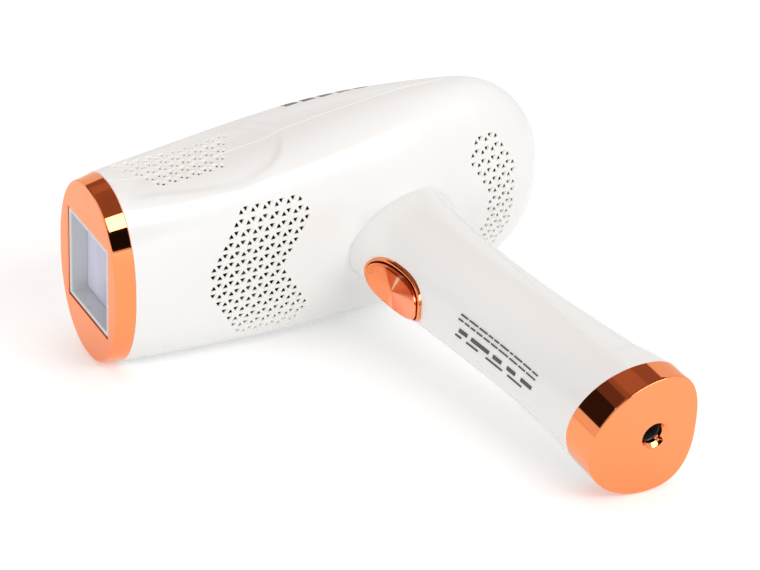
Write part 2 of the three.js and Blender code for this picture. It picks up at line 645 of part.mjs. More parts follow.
function makeHead() {
  const outer = headSolid(0);
  const inner = headSolid(WALL, 2);
  const hollow = outer.subtract(inner);
  const reach = 200;
  const below = box(2 * reach, reach, reach, 0, HEAD_PARTING_Y - GAP / 2 - reach / 2, 0);
  const above = box(2 * reach, reach, reach, 0, HEAD_PARTING_Y + GAP / 2 + reach / 2, 0);
  const sideCutters = sideVents();

  // lower shell: underside vents, the way into the handle, and the bosses of the power board
  let lower = hollow.intersect(below).subtract(undersideVents()).subtract(sideCutters);
  let bosses = null;
  for (const [x, z] of BOARD_SCREWS) {
    const boardUnder = POWER_BOARD_Y - BOARD_THICKNESS / 2 - GAP;
    const post = bar(SCREW_DIAMETER + 2 * BOSS_WALL, at(x, -4, z), at(x, boardUnder, z));
    bosses = bosses ? bosses.add(post) : post;
  }
  lower = lower.add(bosses.intersect(headSolid(WALL / 2)));
  for (const [x, z] of BOARD_SCREWS) {
    const tip = POWER_BOARD_TOP - BOARD_SCREW_LENGTH;
    lower = lower.subtract(bar(SCREW_DIAMETER + 2 * GAP, at(x, tip - GAP, z), at(x, POWER_BOARD_Y + 5, z)));
  }
  lower = lower.subtract(handleSolid(WALL + GAP, WALL + 4, 0).intersect(
    box(40, 30, 40, (HANDLE_FRONTS[0] + HANDLE_BACKS[0]) / 2, 0, 0)));
  add('head_lower_shell', lower, pearl);

  // upper shell with openings for the display and the power button
  const displayBlock = (extra) => box(DISPLAY_LENGTH + 2 * extra, 20, DISPLAY_WIDTH + 2 * extra,
    DISPLAY_X, HEAD_TOPS[1], 0);
  const buttonBar = (extra) => bar(POWER_BUTTON_DIAMETER + 2 * extra, at(POWER_BUTTON_X, 38, 0),
    at(POWER_BUTTON_X, 56, 0), ROUND);
  let upper = hollow.intersect(above).subtract(sideCutters);
  upper = upper.subtract(displayBlock(GAP)).subtract(buttonBar(SLIDE_GAP));
  add('head_upper_shell', upper, pearl);
  add('display_window', hollow.intersect(displayBlock(0)), smokedLens);

  // power button: a plug of the shell with a stem down to its switch
  const switchTop = DISPLAY_BOARD_TOP + GAP + SWITCH_HEIGHT + PLUNGER_HEIGHT;
  const plug = hollow.intersect(buttonBar(0));
  const stem = bar(STEM_DIAMETER, at(POWER_BUTTON_X, switchTop + GAP, 0),
    at(POWER_BUTTON_X, POWER_BUTTON_TOP - WALL / 2, 0));
  add('power_button', plug.add(stem), roseGold);
}

function makeDisplayBoard() {
  const from = POWER_BUTTON_X - 8;
  const board = new THREE.BoxGeometry(DISPLAY_END - from, BOARD_THICKNESS, DISPLAY_WIDTH + 4);
  add('display_board', board, boardGreen).position.set((from + DISPLAY_END) / 2, DISPLAY_BOARD_Y, 0);
  const foot = at(POWER_BUTTON_X, DISPLAY_BOARD_TOP + GAP, 0);
  makeSwitch('power_switch', foot, at(0, 1, 0), POWER_BUTTON_TRAVEL);
}

// ---- a small switch standing on a board: its body and the plunger that a button presses

function makeSwitch(name, foot, axis, travel) {
  const along = (distance) => foot.clone().addScaledVector(axis, distance);
  const block = new THREE.BoxGeometry(SWITCH_SIZE, SWITCH_HEIGHT, SWITCH_SIZE);
  block.translate(0, SWITCH_HEIGHT / 2, 0);
  const turn = new THREE.Quaternion().setFromUnitVectors(at(0, 1, 0), axis);
  block.applyQuaternion(turn).translate(foot.x, foot.y, foot.z);
  const pocket = SWITCH_HEIGHT - PLUNGER_DEPTH - travel - GAP;
  const body = solidOf(block).subtract(
    bar(PLUNGER_DIAMETER + 2 * SLIDE_GAP, along(pocket), along(SWITCH_HEIGHT + 1)));
  add(`${name}_body`, body, blackPlastic);
  const plunger = bar(PLUNGER_DIAMETER, along(SWITCH_HEIGHT - PLUNGER_DEPTH),
    along(SWITCH_HEIGHT + PLUNGER_HEIGHT));
  add(`${name}_plunger`, plunger, ceramic);
}

// ---- power electronics in the head

function makePowerBoard() {
  let board = box(POWER_BOARD_LENGTH, BOARD_THICKNESS, POWER_BOARD_WIDTH,
    POWER_BOARD_X + POWER_BOARD_LENGTH / 2, POWER_BOARD_Y, 0);
  BOARD_SCREWS.forEach(([x, z], i) => {
    const under = at(x, POWER_BOARD_Y - BOARD_THICKNESS, z);
    board = board.subtract(bar(SCREW_DIAMETER + 2 * GAP, under, at(x, POWER_BOARD_Y + BOARD_THICKNESS, z)));
    const seat = POWER_BOARD_TOP + GAP;
    const head = bar(SCREW_HEAD_DIAMETER, at(x, seat, z), at(x, seat + SCREW_HEAD_HEIGHT, z));
    const shank = bar(SCREW_DIAMETER, at(x, POWER_BOARD_TOP - BOARD_SCREW_LENGTH, z),
      at(x, seat + SCREW_HEAD_HEIGHT / 2, z));
    add(`board_screw_${i + 1}`, head.add(shank), steel);
  });
  const leadHole = (z) => bar(LEAD_DIAMETER + 2 * GAP, at(LEAD_X, POWER_BOARD_Y - 2, z),
    at(LEAD_X, POWER_BOARD_Y + 2, z));
  board = board.subtract(leadHole(LEAD_Z)).subtract(leadHole(-LEAD_Z));
  add('power_board', board, boardGreen);

  const rest = POWER_BOARD_TOP + GAP;
  const canX = POWER_BOARD_X + 2;
  const canY = rest + CAPACITOR_DIAMETER / 2;
  add('flash_capacitor', bar(CAPACITOR_DIAMETER, at(canX, canY, CAPACITOR_Z),
    at(canX + CAPACITOR_LENGTH, canY, CAPACITOR_Z), ROUND), blackPlastic);

  const [length, height, width] = TRANSFORMER_SIZE;
  const coreY = rest + height / 2;
  const between = length - 2 * TRANSFORMER_YOKE;
  const windingEnd = between / 2 - GAP;
  const winding = bar(WINDING_DIAMETER, at(TRANSFORMER_X - windingEnd, coreY, PARTS_Z),
    at(TRANSFORMER_X + windingEnd, coreY, PARTS_Z), ROUND);
  const core = box(length, height, width, TRANSFORMER_X, coreY, PARTS_Z)
    .subtract(box(between, height + 1, WINDING_DIAMETER + 2 * GAP, TRANSFORMER_X, coreY, PARTS_Z));
  const former = bar(TRANSFORMER_LEG, at(TRANSFORMER_X - length / 2 + 1, coreY, PARTS_Z),
    at(TRANSFORMER_X + length / 2 - 1, coreY, PARTS_Z), SMALL_ROUND);
  const bore = bar(TRANSFORMER_LEG + 2 * GAP, at(TRANSFORMER_X - length, coreY, PARTS_Z),
    at(TRANSFORMER_X + length, coreY, PARTS_Z), SMALL_ROUND);
  add('transformer_core', core.add(former), castAluminium);
  add('transformer_winding', winding.subtract(bore), copper);
  add('trigger_coil', bar(COIL_DIAMETER, at(COIL_X - COIL_LENGTH / 2, rest + COIL_DIAMETER / 2, PARTS_Z),
    at(COIL_X + COIL_LENGTH / 2, rest + COIL_DIAMETER / 2, PARTS_Z), SMALL_ROUND), copper);
}

// ---- trigger frame: its own axes at the front of the handle

function handleShare(y) {
  return -y / HANDLE_LENGTH;
}
const TRIGGER_SLOPE = (through(HANDLE_FRONTS, handleShare(TRIGGER_Y - 6))
  - through(HANDLE_FRONTS, handleShare(TRIGGER_Y + 6))) / 12;
const TRIGGER_FRONT = at(through(HANDLE_FRONTS, handleShare(TRIGGER_Y)), TRIGGER_Y, 0);
const TRIGGER_OUT = at(-1, -TRIGGER_SLOPE, 0).normalize();
const TRIGGER_DOWN = at(TRIGGER_SLOPE, -1, 0).normalize();

// Puts a shape that was made with +y pointing out of the handle and +x down it in its place.
const triggerPlace = new THREE.Matrix4().makeBasis(
  TRIGGER_DOWN, TRIGGER_OUT, TRIGGER_DOWN.clone().cross(TRIGGER_OUT)).setPosition(TRIGGER_FRONT);

function placedAtTrigger(geometry) {
  return solidOf(geometry.applyMatrix4(triggerPlace));
}

// How far the handle's front falls back at a distance z from the mirror plane.
function handleDrop(z) {
  const { front, widest, halfWidth } = handleSection(handleShare(TRIGGER_Y), 0);
  const side = (Math.abs(z) / halfWidth) ** HANDLE_FRONT_SQUARENESS;
  return (widest - front) * (1 - (1 - side) ** (1 / HANDLE_FRONT_SQUARENESS));
}

// An oval plate of the trigger's outline, from one height to another out of the handle. Each
// side follows the handle's roundness by its own share, and the top can be dished.
function oval(grow, from, to, { fromCurve = 0, toCurve = 0, dish = 0 } = {}) {
  const [length, width] = [TRIGGER_LENGTH / 2 + grow, TRIGGER_WIDTH / 2 + grow];
  function ringAt(y, curve, scale) {
    const outline = superellipse(length * scale, width * scale, TRIGGER_SQUARENESS, ROUND);
    return outline.map(([x, z]) => at(x, y - curve * handleDrop(z), z));
  }
  const rings = [ringAt(from, fromCurve, 1), ringAt(to, toCurve, 1)];
  if (dish > 0) {
    rings.push(ringAt(to, toCurve, 0.9), ringAt(to - dish, toCurve, 0.5));
  }
  return placedAtTrigger(loft(rings, at(0, from, 0), at(0, to - dish, 0)));
}

const TRIGGER_BACK = TRIGGER_PROUD - TRIGGER_BODY;
const TRIGGER_BOARD = [TRIGGER_LENGTH + 1, TRIGGER_WIDTH - 0.4];
const HANDLE_SCREW_YS = [
  TRIGGER_Y - TRIGGER_LENGTH / 2 - HANDLE_SCREW_CLEAR,
  HANDLE_SCREW_RISE - HANDLE_LENGTH,
];
const FLANGE_BACK = TRIGGER_BACK - TRIGGER_FLANGE;
const SPRING_TOP = FLANGE_BACK - GAP;
const TRIGGER_BOARD_TOP = SPRING_TOP - SPRING_LENGTH - GAP;
const TRIGGER_SWITCH_FOOT = TRIGGER_BOARD_TOP + GAP;
const STEM_END = TRIGGER_SWITCH_FOOT + SWITCH_HEIGHT + PLUNGER_HEIGHT + GAP;

function makeTrigger() {
  const stemRoot = FLANGE_BACK + TRIGGER_FLANGE / 2;
  const body = oval(0, stemRoot, TRIGGER_PROUD, { toCurve: TRIGGER_CURVE, dish: TRIGGER_DISH });
  const flange = oval(TRIGGER_LIP, FLANGE_BACK, TRIGGER_BACK);
  const stemRadius = STEM_DIAMETER / 2;
  const stem = new THREE.CylinderGeometry(stemRadius, stemRadius, stemRoot - STEM_END, SMALL_ROUND)
    .translate(0, (STEM_END + stemRoot) / 2, 0);
  add('trigger_button', body.add(flange).add(placedAtTrigger(stem)), roseGold);

  const ringOuter = oval(SLIDE_GAP + TRIGGER_RING_WIDTH, -TRIGGER_RING_SEAT + GAP, TRIGGER_RING_PROUD,
    { fromCurve: 1, toCurve: 1 });
  const ringInner = oval(SLIDE_GAP, -WALL * 4, WALL * 4);
  add('trigger_ring', ringOuter.subtract(ringInner), roseGold);
}

class SpringLine extends THREE.Curve {
  getPoint(t, target = new THREE.Vector3()) {
    const angle = t * SPRING_TURNS * 2 * Math.PI;
    const height = SPRING_TOP - SPRING_LENGTH + SPRING_WIRE / 2 + t * (SPRING_LENGTH - SPRING_WIRE);
    return target.set(Math.cos(angle) * SPRING_DIAMETER / 2, height, Math.sin(angle) * SPRING_DIAMETER / 2);
  }
}

function makeTriggerSwitch() {
  const wire = new THREE.Shape();
  for (let i = 0; i < SPRING_WIRE_SIDES; i += 1) {
    const angle = (i / SPRING_WIRE_SIDES) * 2 * Math.PI;
    const [x, y] = [Math.cos(angle) * SPRING_WIRE / 2, Math.sin(angle) * SPRING_WIRE / 2];
    if (i === 0) {
      wire.moveTo(x, y);
    } else {
      wire.lineTo(x, y);
    }
  }
  const coil = new THREE.ExtrudeGeometry(wire, {
    steps: SPRING_TURNS * 11, bevelEnabled: false, extrudePath: new SpringLine(),
  });
  add('trigger_spring', placedAtTrigger(coil), steel);

  const board = new THREE.BoxGeometry(TRIGGER_BOARD[0], BOARD_THICKNESS, TRIGGER_BOARD[1])
    .translate(0, TRIGGER_BOARD_TOP - BOARD_THICKNESS / 2, 0);
  add('trigger_board', placedAtTrigger(board), boardGreen);
  const foot = at(0, TRIGGER_SWITCH_FOOT, 0).applyMatrix4(triggerPlace);
  makeSwitch('trigger_switch', foot, TRIGGER_OUT, TRIGGER_TRAVEL);
}

// ---- handle shells

function makeHandle() {
  const outer = handleSolid(0, WALL, GAP / 2);
  const inner = handleSolid(WALL, WALL + 4, -1);
  const hollow = outer.subtract(inner).subtract(headSolid(-GAP));
  const reach = 200;
  const halfSpace = (side) => box(reach, 2 * reach, reach,
    HANDLE_PARTING_X + side * (reach + GAP) / 2, 0, 0);
  const room = handleSolid(WALL / 2, WALL, GAP / 2);

  // front shell: the trigger's opening and the screw bosses
  const screwDiameter = SCREW_DIAMETER + 2 * GAP;
  let front = hollow.intersect(halfSpace(-1));
  for (const y of HANDLE_SCREW_YS) {
    const boss = bar(SCREW_DIAMETER + 2 * BOSS_WALL, at(HANDLE_FRONTS[0], y, 0),
      at(HANDLE_PARTING_X - GAP, y, 0));
    front = front.add(boss.intersect(room));
    front = front.subtract(bar(screwDiameter, at(HANDLE_PARTING_X + GAP + SCREW_SEAT - SCREW_LENGTH, y, 0),
      at(HANDLE_PARTING_X + 1, y, 0)));
  }
  const opening = oval(SLIDE_GAP, 2 * FLANGE_BACK, WALL);
  const ringSeat = oval(SLIDE_GAP + TRIGGER_RING_WIDTH + GAP, -TRIGGER_RING_SEAT, WALL, { fromCurve: 1 });
  const flangeRoom = oval(TRIGGER_LIP + SLIDE_GAP, 2 * FLANGE_BACK, TRIGGER_BACK + GAP);
  front = front.subtract(opening).subtract(ringSeat).subtract(flangeRoom);
  add('handle_front_shell', front, pearl);

  // back shell: posts that the screws pass through, with seats for their heads
  let back = hollow.intersect(halfSpace(1));
  HANDLE_SCREW_YS.forEach((y, i) => {
    const outside = through(HANDLE_BACKS, handleShare(y));
    const post = bar(SCREW_HEAD_DIAMETER + 2 * GAP + 2 * BOSS_WALL, at(HANDLE_PARTING_X + GAP, y, 0),
      at(outside + WALL, y, 0));
    back = back.add(post.intersect(room));
    const seat = HANDLE_PARTING_X + GAP + SCREW_SEAT;
    back = back.subtract(bar(SCREW_HEAD_DIAMETER + 2 * GAP, at(seat, y, 0), at(outside + WALL, y, 0)));
    back = back.subtract(bar(screwDiameter, at(HANDLE_PARTING_X, y, 0), at(seat + GAP, y, 0)));
    const headBase = seat + GAP;
    const head = bar(SCREW_HEAD_DIAMETER, at(headBase, y, 0), at(headBase + SCREW_HEAD_HEIGHT, y, 0));
    const tip = at(headBase - SCREW_LENGTH, y, 0);
    const shank = bar(SCREW_DIAMETER, tip, at(headBase + SCREW_HEAD_HEIGHT / 2, y, 0));
    add(`handle_screw_${i + 1}`, head.add(shank), steel);
  });
  add('handle_back_shell', back, pearl);
}

// ---- electronics and leads in the handle

const CAP_FACE_Y = -HANDLE_LENGTH - CAP_HEIGHT;
const SOCKET_FLOOR_Y = CAP_FACE_Y + CAP_FLOOR + GAP;
const SOCKET_TOP_Y = SOCKET_FLOOR_Y + SOCKET_BODY_LENGTH;

class LeadLine extends THREE.CatmullRomCurve3 {
  constructor(side) {
    const z = side * LEAD_Z;
    const bend = SOCKET_TOP_Y + 5 * LEAD_DIAMETER;
    const straight = [1, 0.8, 0.5, 0.2, 0].map((share) => at(LEAD_X, bend * share, z));
    super([
      at(SOCKET_X, SOCKET_TOP_Y + 2 * GAP, side * LEAD_DIAMETER),
      at((SOCKET_X + LEAD_X) / 2, SOCKET_TOP_Y + 2.5 * LEAD_DIAMETER, z * 0.8),
      ...straight, at(LEAD_X, POWER_BOARD_TOP + 1, z),
    ]);
  }
}

function makeControls() {
  const [upper, lower] = HANDLE_SCREW_YS;
  const board = new THREE.BoxGeometry(
    BOARD_THICKNESS, upper - lower - 2 * CONTROL_BOARD_ENDS, CONTROL_BOARD_WIDTH);
  const boardY = (upper + lower) / 2;
  add('control_board', board, boardGreen).position.set(CONTROL_BOARD_X, boardY, 0);
  const chip = new THREE.BoxGeometry(CHIP_THICKNESS, CHIP_SIZE, CHIP_SIZE);
  const chipX = CONTROL_BOARD_X - BOARD_THICKNESS / 2 - GAP - CHIP_THICKNESS / 2;
  add('control_chip', chip, blackPlastic).position.set(chipX, boardY, 0);
  for (const [name, side, sheath] of [['supply_lead', 1, redSheath], ['return_lead', -1, blackPlastic]]) {
    const section = new THREE.Shape();
    section.absarc(0, 0, LEAD_DIAMETER / 2, 0, 2 * Math.PI);
    const lead = new THREE.ExtrudeGeometry(section, {
      steps: 14, curveSegments: 3, bevelEnabled: false, extrudePath: new LeadLine(side),
    });
    add(name, solidOf(lead), sheath);
  }
}

// ---- end cap and power socket

function capSolid(inset, faceY, bevel, jointRise) {
  const outline = handleOutline(handleSection(1, inset - CAP_PROUD));
  const middle = handleSection(1, inset).widest;
  const shrink = (less, y) => handleOutline(handleSection(1, inset - CAP_PROUD + less))
    .map(([x, z]) => at(x, y, z));
  const rings = [outline.map(([x, z]) => at(x, capJointY(x) + jointRise, z))];
  if (bevel > 0) {
    rings.push(shrink(0, faceY + bevel));
  }
  rings.push(shrink(bevel, faceY));
  return solidOf(loft(rings, at(middle, capJointY(middle) + jointRise, 0), at(middle, faceY, 0)));
}

function makeEndCap() {
  const inside = capSolid(WALL, CAP_FACE_Y + CAP_FLOOR, 0, 5);
  const boreEnd = at(SOCKET_X, CAP_FACE_Y + CAP_FLOOR + 1, 0);
  const bore = bar(SOCKET_BORE, at(SOCKET_X, CAP_FACE_Y - 1, 0), boreEnd, ROUND);
  const chamfer = bar(SOCKET_BORE + 2 * SOCKET_CHAMFER, at(SOCKET_X, CAP_FACE_Y, 0),
    at(SOCKET_X, CAP_FACE_Y + SOCKET_CHAMFER, 0), ROUND, SOCKET_BORE);
  const cap = capSolid(0, CAP_FACE_Y, CAP_BEVEL, -GAP / 2).subtract(inside).subtract(bore).subtract(chamfer);
  add('end_cap', cap, roseGold);
}

function makeSocket() {
  const centre = (y) => at(SOCKET_X, y, 0);
  const end = SOCKET_TOP_Y - SOCKET_END;
  const body = bar(SOCKET_BODY_DIAMETER, centre(SOCKET_FLOOR_Y), centre(SOCKET_TOP_Y), ROUND)
    .subtract(bar(SOCKET_BORE, centre(SOCKET_FLOOR_Y - 1), centre(end), ROUND));
  add('socket_body', body, blackPlastic);
  const pinTip = SOCKET_FLOOR_Y + SOCKET_PIN_RECESS;
  add('socket_pin', bar(SOCKET_PIN_DIAMETER, centre(pinTip), centre(end - GAP)), steel);
  const nutBottom = SOCKET_FLOOR_Y + GAP;
  const nut = bar(SOCKET_NUT_DIAMETER, centre(nutBottom), centre(nutBottom + SOCKET_NUT_HEIGHT), 6)
    .subtract(bar(SOCKET_BODY_DIAMETER + 2 * GAP, centre(nutBottom - 1), centre(nutBottom + 5), ROUND));
  add('socket_nut', nut, steel);
}

makeNoseRing();
makeWindow();
makeCartridge();
makeHeatSink();
makeFan();
makeHead();
makeDisplayBoard();
makePowerBoard();
makeTrigger();
makeTriggerSwitch();
makeHandle();
makeControls();
makeEndCap();
makeSocket();

// ---------------------------------------------------------------- laid down to rest

// Leans the hand piece until the nose ring, the head and the end cap are equally low.
function layDown(group) {
  const feet = ['nose_ring', 'head_lower_shell', 'end_cap'].map((name) => group.getObjectByName(name));
  const lowest = (mesh) => {
    const position = mesh.geometry.getAttribute('position');
    const point = new THREE.Vector3();
    let low = Infinity;
    for (let i = 0; i < position.count; i += 1) {
      point.fromBufferAttribute(position, i).applyEuler(group.rotation);
      low = Math.min(low, point.z);
    }
    return low;
  };
  const noseToWidest = HEAD_LENGTH * 2 / 3;
  for (let pass = 0; pass < 40; pass += 1) {
    const [ring, head, cap] = feet.map(lowest);
    group.rotation.x -= (head - cap) / (HANDLE_LENGTH + NOSE_CENTRE_Y) / 2;
    group.rotation.y += (head - ring) / noseToWidest / 2;
  }
  group.updateMatrixWorld(true);
  const bounds = new THREE.Box3().setFromObject(group, true);
  const centre = bounds.getCenter(new THREE.Vector3());
  group.position.set(-centre.x, -centre.y, -bounds.min.z);
}

layDown(device);
const part = new THREE.Group();
part.add(device);

export default part;
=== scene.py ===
import json
import math

import bmesh
import bpy
import numpy as np
from bpy.props import FloatProperty, FloatVectorProperty, IntProperty, PointerProperty
from mathutils import Matrix, Vector
from mathutils.bvhtree import BVHTree
from mathutils.interpolate import poly_3d_calc


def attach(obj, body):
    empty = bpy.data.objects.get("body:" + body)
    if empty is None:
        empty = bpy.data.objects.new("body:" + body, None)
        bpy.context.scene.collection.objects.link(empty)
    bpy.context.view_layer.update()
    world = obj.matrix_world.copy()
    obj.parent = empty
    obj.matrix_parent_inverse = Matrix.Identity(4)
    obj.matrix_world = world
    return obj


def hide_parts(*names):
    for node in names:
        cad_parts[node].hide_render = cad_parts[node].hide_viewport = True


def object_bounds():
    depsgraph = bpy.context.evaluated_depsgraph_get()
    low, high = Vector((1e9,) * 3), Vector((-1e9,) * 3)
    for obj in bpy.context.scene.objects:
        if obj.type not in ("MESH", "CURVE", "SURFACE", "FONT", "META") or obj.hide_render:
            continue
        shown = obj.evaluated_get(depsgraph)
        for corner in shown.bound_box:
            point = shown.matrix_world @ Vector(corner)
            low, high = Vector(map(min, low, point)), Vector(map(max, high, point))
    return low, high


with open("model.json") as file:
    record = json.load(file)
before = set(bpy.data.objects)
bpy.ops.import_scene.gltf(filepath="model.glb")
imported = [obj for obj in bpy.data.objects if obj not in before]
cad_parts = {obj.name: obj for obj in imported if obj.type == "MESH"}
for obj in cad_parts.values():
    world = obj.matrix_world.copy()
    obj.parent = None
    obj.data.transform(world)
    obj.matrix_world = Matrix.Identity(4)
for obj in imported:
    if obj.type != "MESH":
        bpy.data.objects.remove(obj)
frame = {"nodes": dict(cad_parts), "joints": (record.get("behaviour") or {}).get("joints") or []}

bl_info = {
    "name": "IPL hair remover",
    "version": (1, 0, 0),
    "blender": (4, 5, 0),
    "location": "3D View > Sidebar > Hair Remover",
    "description": "Builds a hair remover's smooth casings, plated trim and finishes on its packed frame",
    "category": "Object",
}

CAD_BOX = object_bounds()
MM = 0.001
SLIT = 0.16          # width of a moulded joint, mm


# ---------------------------------------------------------------- the hand piece's own axes
#
# x runs from the nose face to the tail, y from the end of the handle up through the head, and
# z across, in millimetres. The joints say where these axes lie.

def joint(name):
    return next(each for each in frame["joints"] if each["name"] == name)


FAN_POINT = Vector((40.0, 22.8, 0.0))
ALONG = Vector(joint("fan_spin")["axis"]).normalized()
UPWARD = -Vector(joint("power_press")["axis"]).normalized()
ACROSS = ALONG.cross(UPWARD).normalized()
AXES = np.array([ALONG, UPWARD, ACROSS])
ORIGIN = np.array(joint("fan_spin")["pos_m"]) - np.array(FAN_POINT) * MM @ AXES
PLACE = Matrix.Translation(Vector(ORIGIN)) @ Matrix(AXES.T.tolist()).to_4x4()


def placed(points):
    return np.asarray(points, float) * MM @ AXES + ORIGIN


# ---------------------------------------------------------------- outlines of the casings

RING_DEPTH = 6.2
RING_HALF_HEIGHT = 19.6
RING_HALF_WIDTH = 30.5
RING_FLARE = 1.1
RING_BEVEL = 0.4
RING_PLATE = 2.2
RING_WALL = 1.6
RING_SQUARENESS = 2.2
NOSE_Y = 22.8
WINDOW_HALF = (13.9, 16.1)
WINDOW_DEPTH = 6.9
FRAME_RIM = 1.4
WALL = 2.2
HEAD_FROM = 6.5
HEAD_TO = 154.8
HEAD_HALF_WIDTHS = (31.8, 32.9, 37.5, 30.9)
HEAD_TOPS = (43.6, 46.6, 45.2, 28.3)
HEAD_BOTTOMS = (2.2, -0.7, -1.0, 4.6)
HEAD_SQUARENESS = (2.2, 3.1, 2.0, 2.2)
TAIL_START = 0.8
TAIL_EXPONENT = 2.36
TAIL_Y = 16.9
HEAD_PARTING_Y = 22.0
HANDLE_LENGTH = 111.5
HANDLE_FRONTS = (75.0, 79.3, 84.4, 86.4)
HANDLE_BACKS = (113.6, 112.3, 117.6, 123.2)
HANDLE_HALF_WIDTHS = (15.4, 15.9, 16.3, 19.9)
HANDLE_WIDEST = 0.62
HANDLE_FRONT_SQUARENESS = 1.92
HANDLE_BACK_SQUARENESS = 2.57
HANDLE_PARTING_X = 104.7
CAP_HEIGHT = 8.8
CAP_TILT = math.radians(8)
CAP_BEVEL = 0.4
CAP_FACE_Y = -HANDLE_LENGTH - CAP_HEIGHT
SOCKET_X = 108.8
SOCKET_RADIUS = 3.2
SOCKET_CHAMFER = 1.2
TRIGGER_Y = -26.0
TRIGGER_HALF = (12.3, 6.6)
TRIGGER_PROUD = 1.2
TRIGGER_CURVE = 0.6
TRIGGER_SQUARENESS = 2.4
TRIGGER_RING_PROUD = 0.6
POWER_KEY_X = 77.0
POWER_KEY_RADIUS = 5.5
DISPLAY_X = 100.0
DISPLAY_HALF = (13.0, 7.5)
POWER_KEY_SLIT = 0.25
POWER_STEM_RADIUS = 2.2
POWER_STEM_Y = 41.6     # the foot of the power key's stem
DISPLAY_CORNER = 2.0
CASING_WALL = 0.8       # thickness of the casings where their openings show it
SKIN = 0.12             # the smooth casing lies this far inside the frame's corners
FLANK_NARROWING = 0.955     # share of its width that the head's inner skin keeps, to clear the hollows
ON_SKIN = 0.0001        # metres: a corner nearer than this to the outer skin lies on it
FAR = 260               # past every end of the hand piece, for cutters that halve it

# The lower edge of the hollow in the head's flank, from nose to tail.
SCOOP_X = (-5, 9, 18, 29, 43.5, 49, 55, 59, 62, 64)
SCOOP_LOW = (12, 12, 11, 8.5, 6, 7, 8.6, 11.5, 16, 22)

FRONT_VENT_X = 43
REAR_VENT_X = 131
UNDERSIDE_CUT = (-9, 9.5)       # from and to which height the underside's vents are cut
SIDE_VENT_X = 20.5
SIDE_VENT_ROWS = 5
SIDE_ROWS_BELOW = 2
SIDE_VENT_HOLES = 12            # in the lowest row
FLANK_CUT = (22, 44)            # from and to how far across the flank's vents are cut
TOP_CUT = (38, 56)              # from and to which height the display and key openings are cut

TRIGGER_GAP = 0.35
TRIGGER_RING_WIDTH = 0.8
TRIGGER_DISH = 0.7

SCREW_YS = (-42.4, -93.0)
SCREW_WELL_RADIUS = 2.9
SCREW_SEAT_X = HANDLE_PARTING_X + 3.8
SCREW_LENGTH = 15
SCREW_RADIUS = 1.3
SCREW_HEAD_RADIUS = 2.5
THREAD_PITCH = 0.9
THREAD_DEPTH = 0.16
RECESS_HALF = (1.35, 0.26)      # half the length and width of one bar of the cross
BOARD_SCREW_SPOTS = ((67.0, 20.0), (67.0, -20.0), (118.0, 19.0), (118.0, -19.0))
BOARD_SCREW_SEAT_Y = 12.1
BOARD_SCREW_LENGTH = 7

GLASS_HALF = (12.1, 14.3)
GLASS_X = (5.6, 9.8)

# How many points go round each kind of outline.
NOSE_POINTS = 240
HEAD_POINTS = 208
HANDLE_POINTS = 176
TRIGGER_POINTS = 160
GLASS_POINTS = 160
KEY_POINTS = 96


def through(values, t):
    """The cubic through four values a third of the way from one another."""
    a, b, c, d = values
    return ((a * (1 - 3 * t) * (2 - 3 * t) * (1 - t) + d * t * (1 - 3 * t) * (2 - 3 * t)) / 2
            + (b * 9 * t * (2 - 3 * t) * (1 - t) - c * 9 * t * (1 - 3 * t) * (1 - t)) / 2)


def ease(low, high, value):
    """0 below low, 1 above high, and smooth between."""
    t = np.clip((value - low) / (high - low), 0, 1)
    return t * t * (3 - 2 * t)


def oval_reach(angle, half_a, half_b, squareness):
    """How far a superellipse reaches from its centre in a direction."""
    a = np.abs(np.cos(angle)) / half_a
    b = np.abs(np.sin(angle)) / half_b
    return (a ** squareness + b ** squareness) ** (-1 / squareness)


def turns(count):
    return np.arange(count) * 2 * math.pi / count


def head_outline(share, inset):
    tail = np.clip((share - TAIL_START) / (1 - TAIL_START), 0, 1)
    rounding = (1 - tail ** TAIL_EXPONENT) ** (1 / TAIL_EXPONENT)
    top = TAIL_Y + (through(HEAD_TOPS, share) - TAIL_Y) * rounding
    bottom = TAIL_Y + (through(HEAD_BOTTOMS, share) - TAIL_Y) * rounding
    half_width = through(HEAD_HALF_WIDTHS, share) * rounding
    return ((top + bottom) / 2, np.maximum(0.02, (top - bottom) / 2 - inset),
            np.maximum(0.02, half_width - inset), through(HEAD_SQUARENESS, share))


def handle_edge(share, inset=0.0):
    front = through(HANDLE_FRONTS, share) + inset
    back = through(HANDLE_BACKS, share) - inset
    widest = front + (back - front) * HANDLE_WIDEST
    return front, back, widest, through(HANDLE_HALF_WIDTHS, share) - inset


def handle_reach(angle, front, back, widest, half_width):
    """How far the handle's outline reaches from its widest place in a direction."""
    ahead = np.cos(angle) < 0
    reach_x = np.where(ahead, widest - front, back - widest)
    squareness = np.where(ahead, HANDLE_FRONT_SQUARENESS, HANDLE_BACK_SQUARENESS)
    return oval_reach(angle, reach_x, half_width, squareness)


def handle_front_x(y, z, inset=0.0):
    """The handle's front surface at a height and a distance across."""
    front, _, widest, half_width = handle_edge(-y / HANDLE_LENGTH, inset)
    side = np.clip(np.abs(z) / half_width, 0, 1) ** HANDLE_FRONT_SQUARENESS
    return widest - (widest - front) * (1 - side) ** (1 / HANDLE_FRONT_SQUARENESS)


def cap_joint_y(x):
    return -HANDLE_LENGTH - (x - SOCKET_X) * math.tan(CAP_TILT)


def neck_distance(x, z):
    """How far a point of the head's underside lies outside the top of the handle."""
    front, back, widest, half_width = handle_edge(0.0)
    ahead = x < widest
    reach = np.where(ahead, widest - front, back - widest)
    squareness = np.where(ahead, HANDLE_FRONT_SQUARENESS, HANDLE_BACK_SQUARENESS)
    level = ((np.abs(x - widest) / reach) ** squareness
             + (np.abs(z) / half_width) ** squareness) ** (1 / squareness)
    from_middle = np.hypot(x - widest, z)
    return np.maximum(0, from_middle * (1 - 1 / np.maximum(level, 1e-3)))


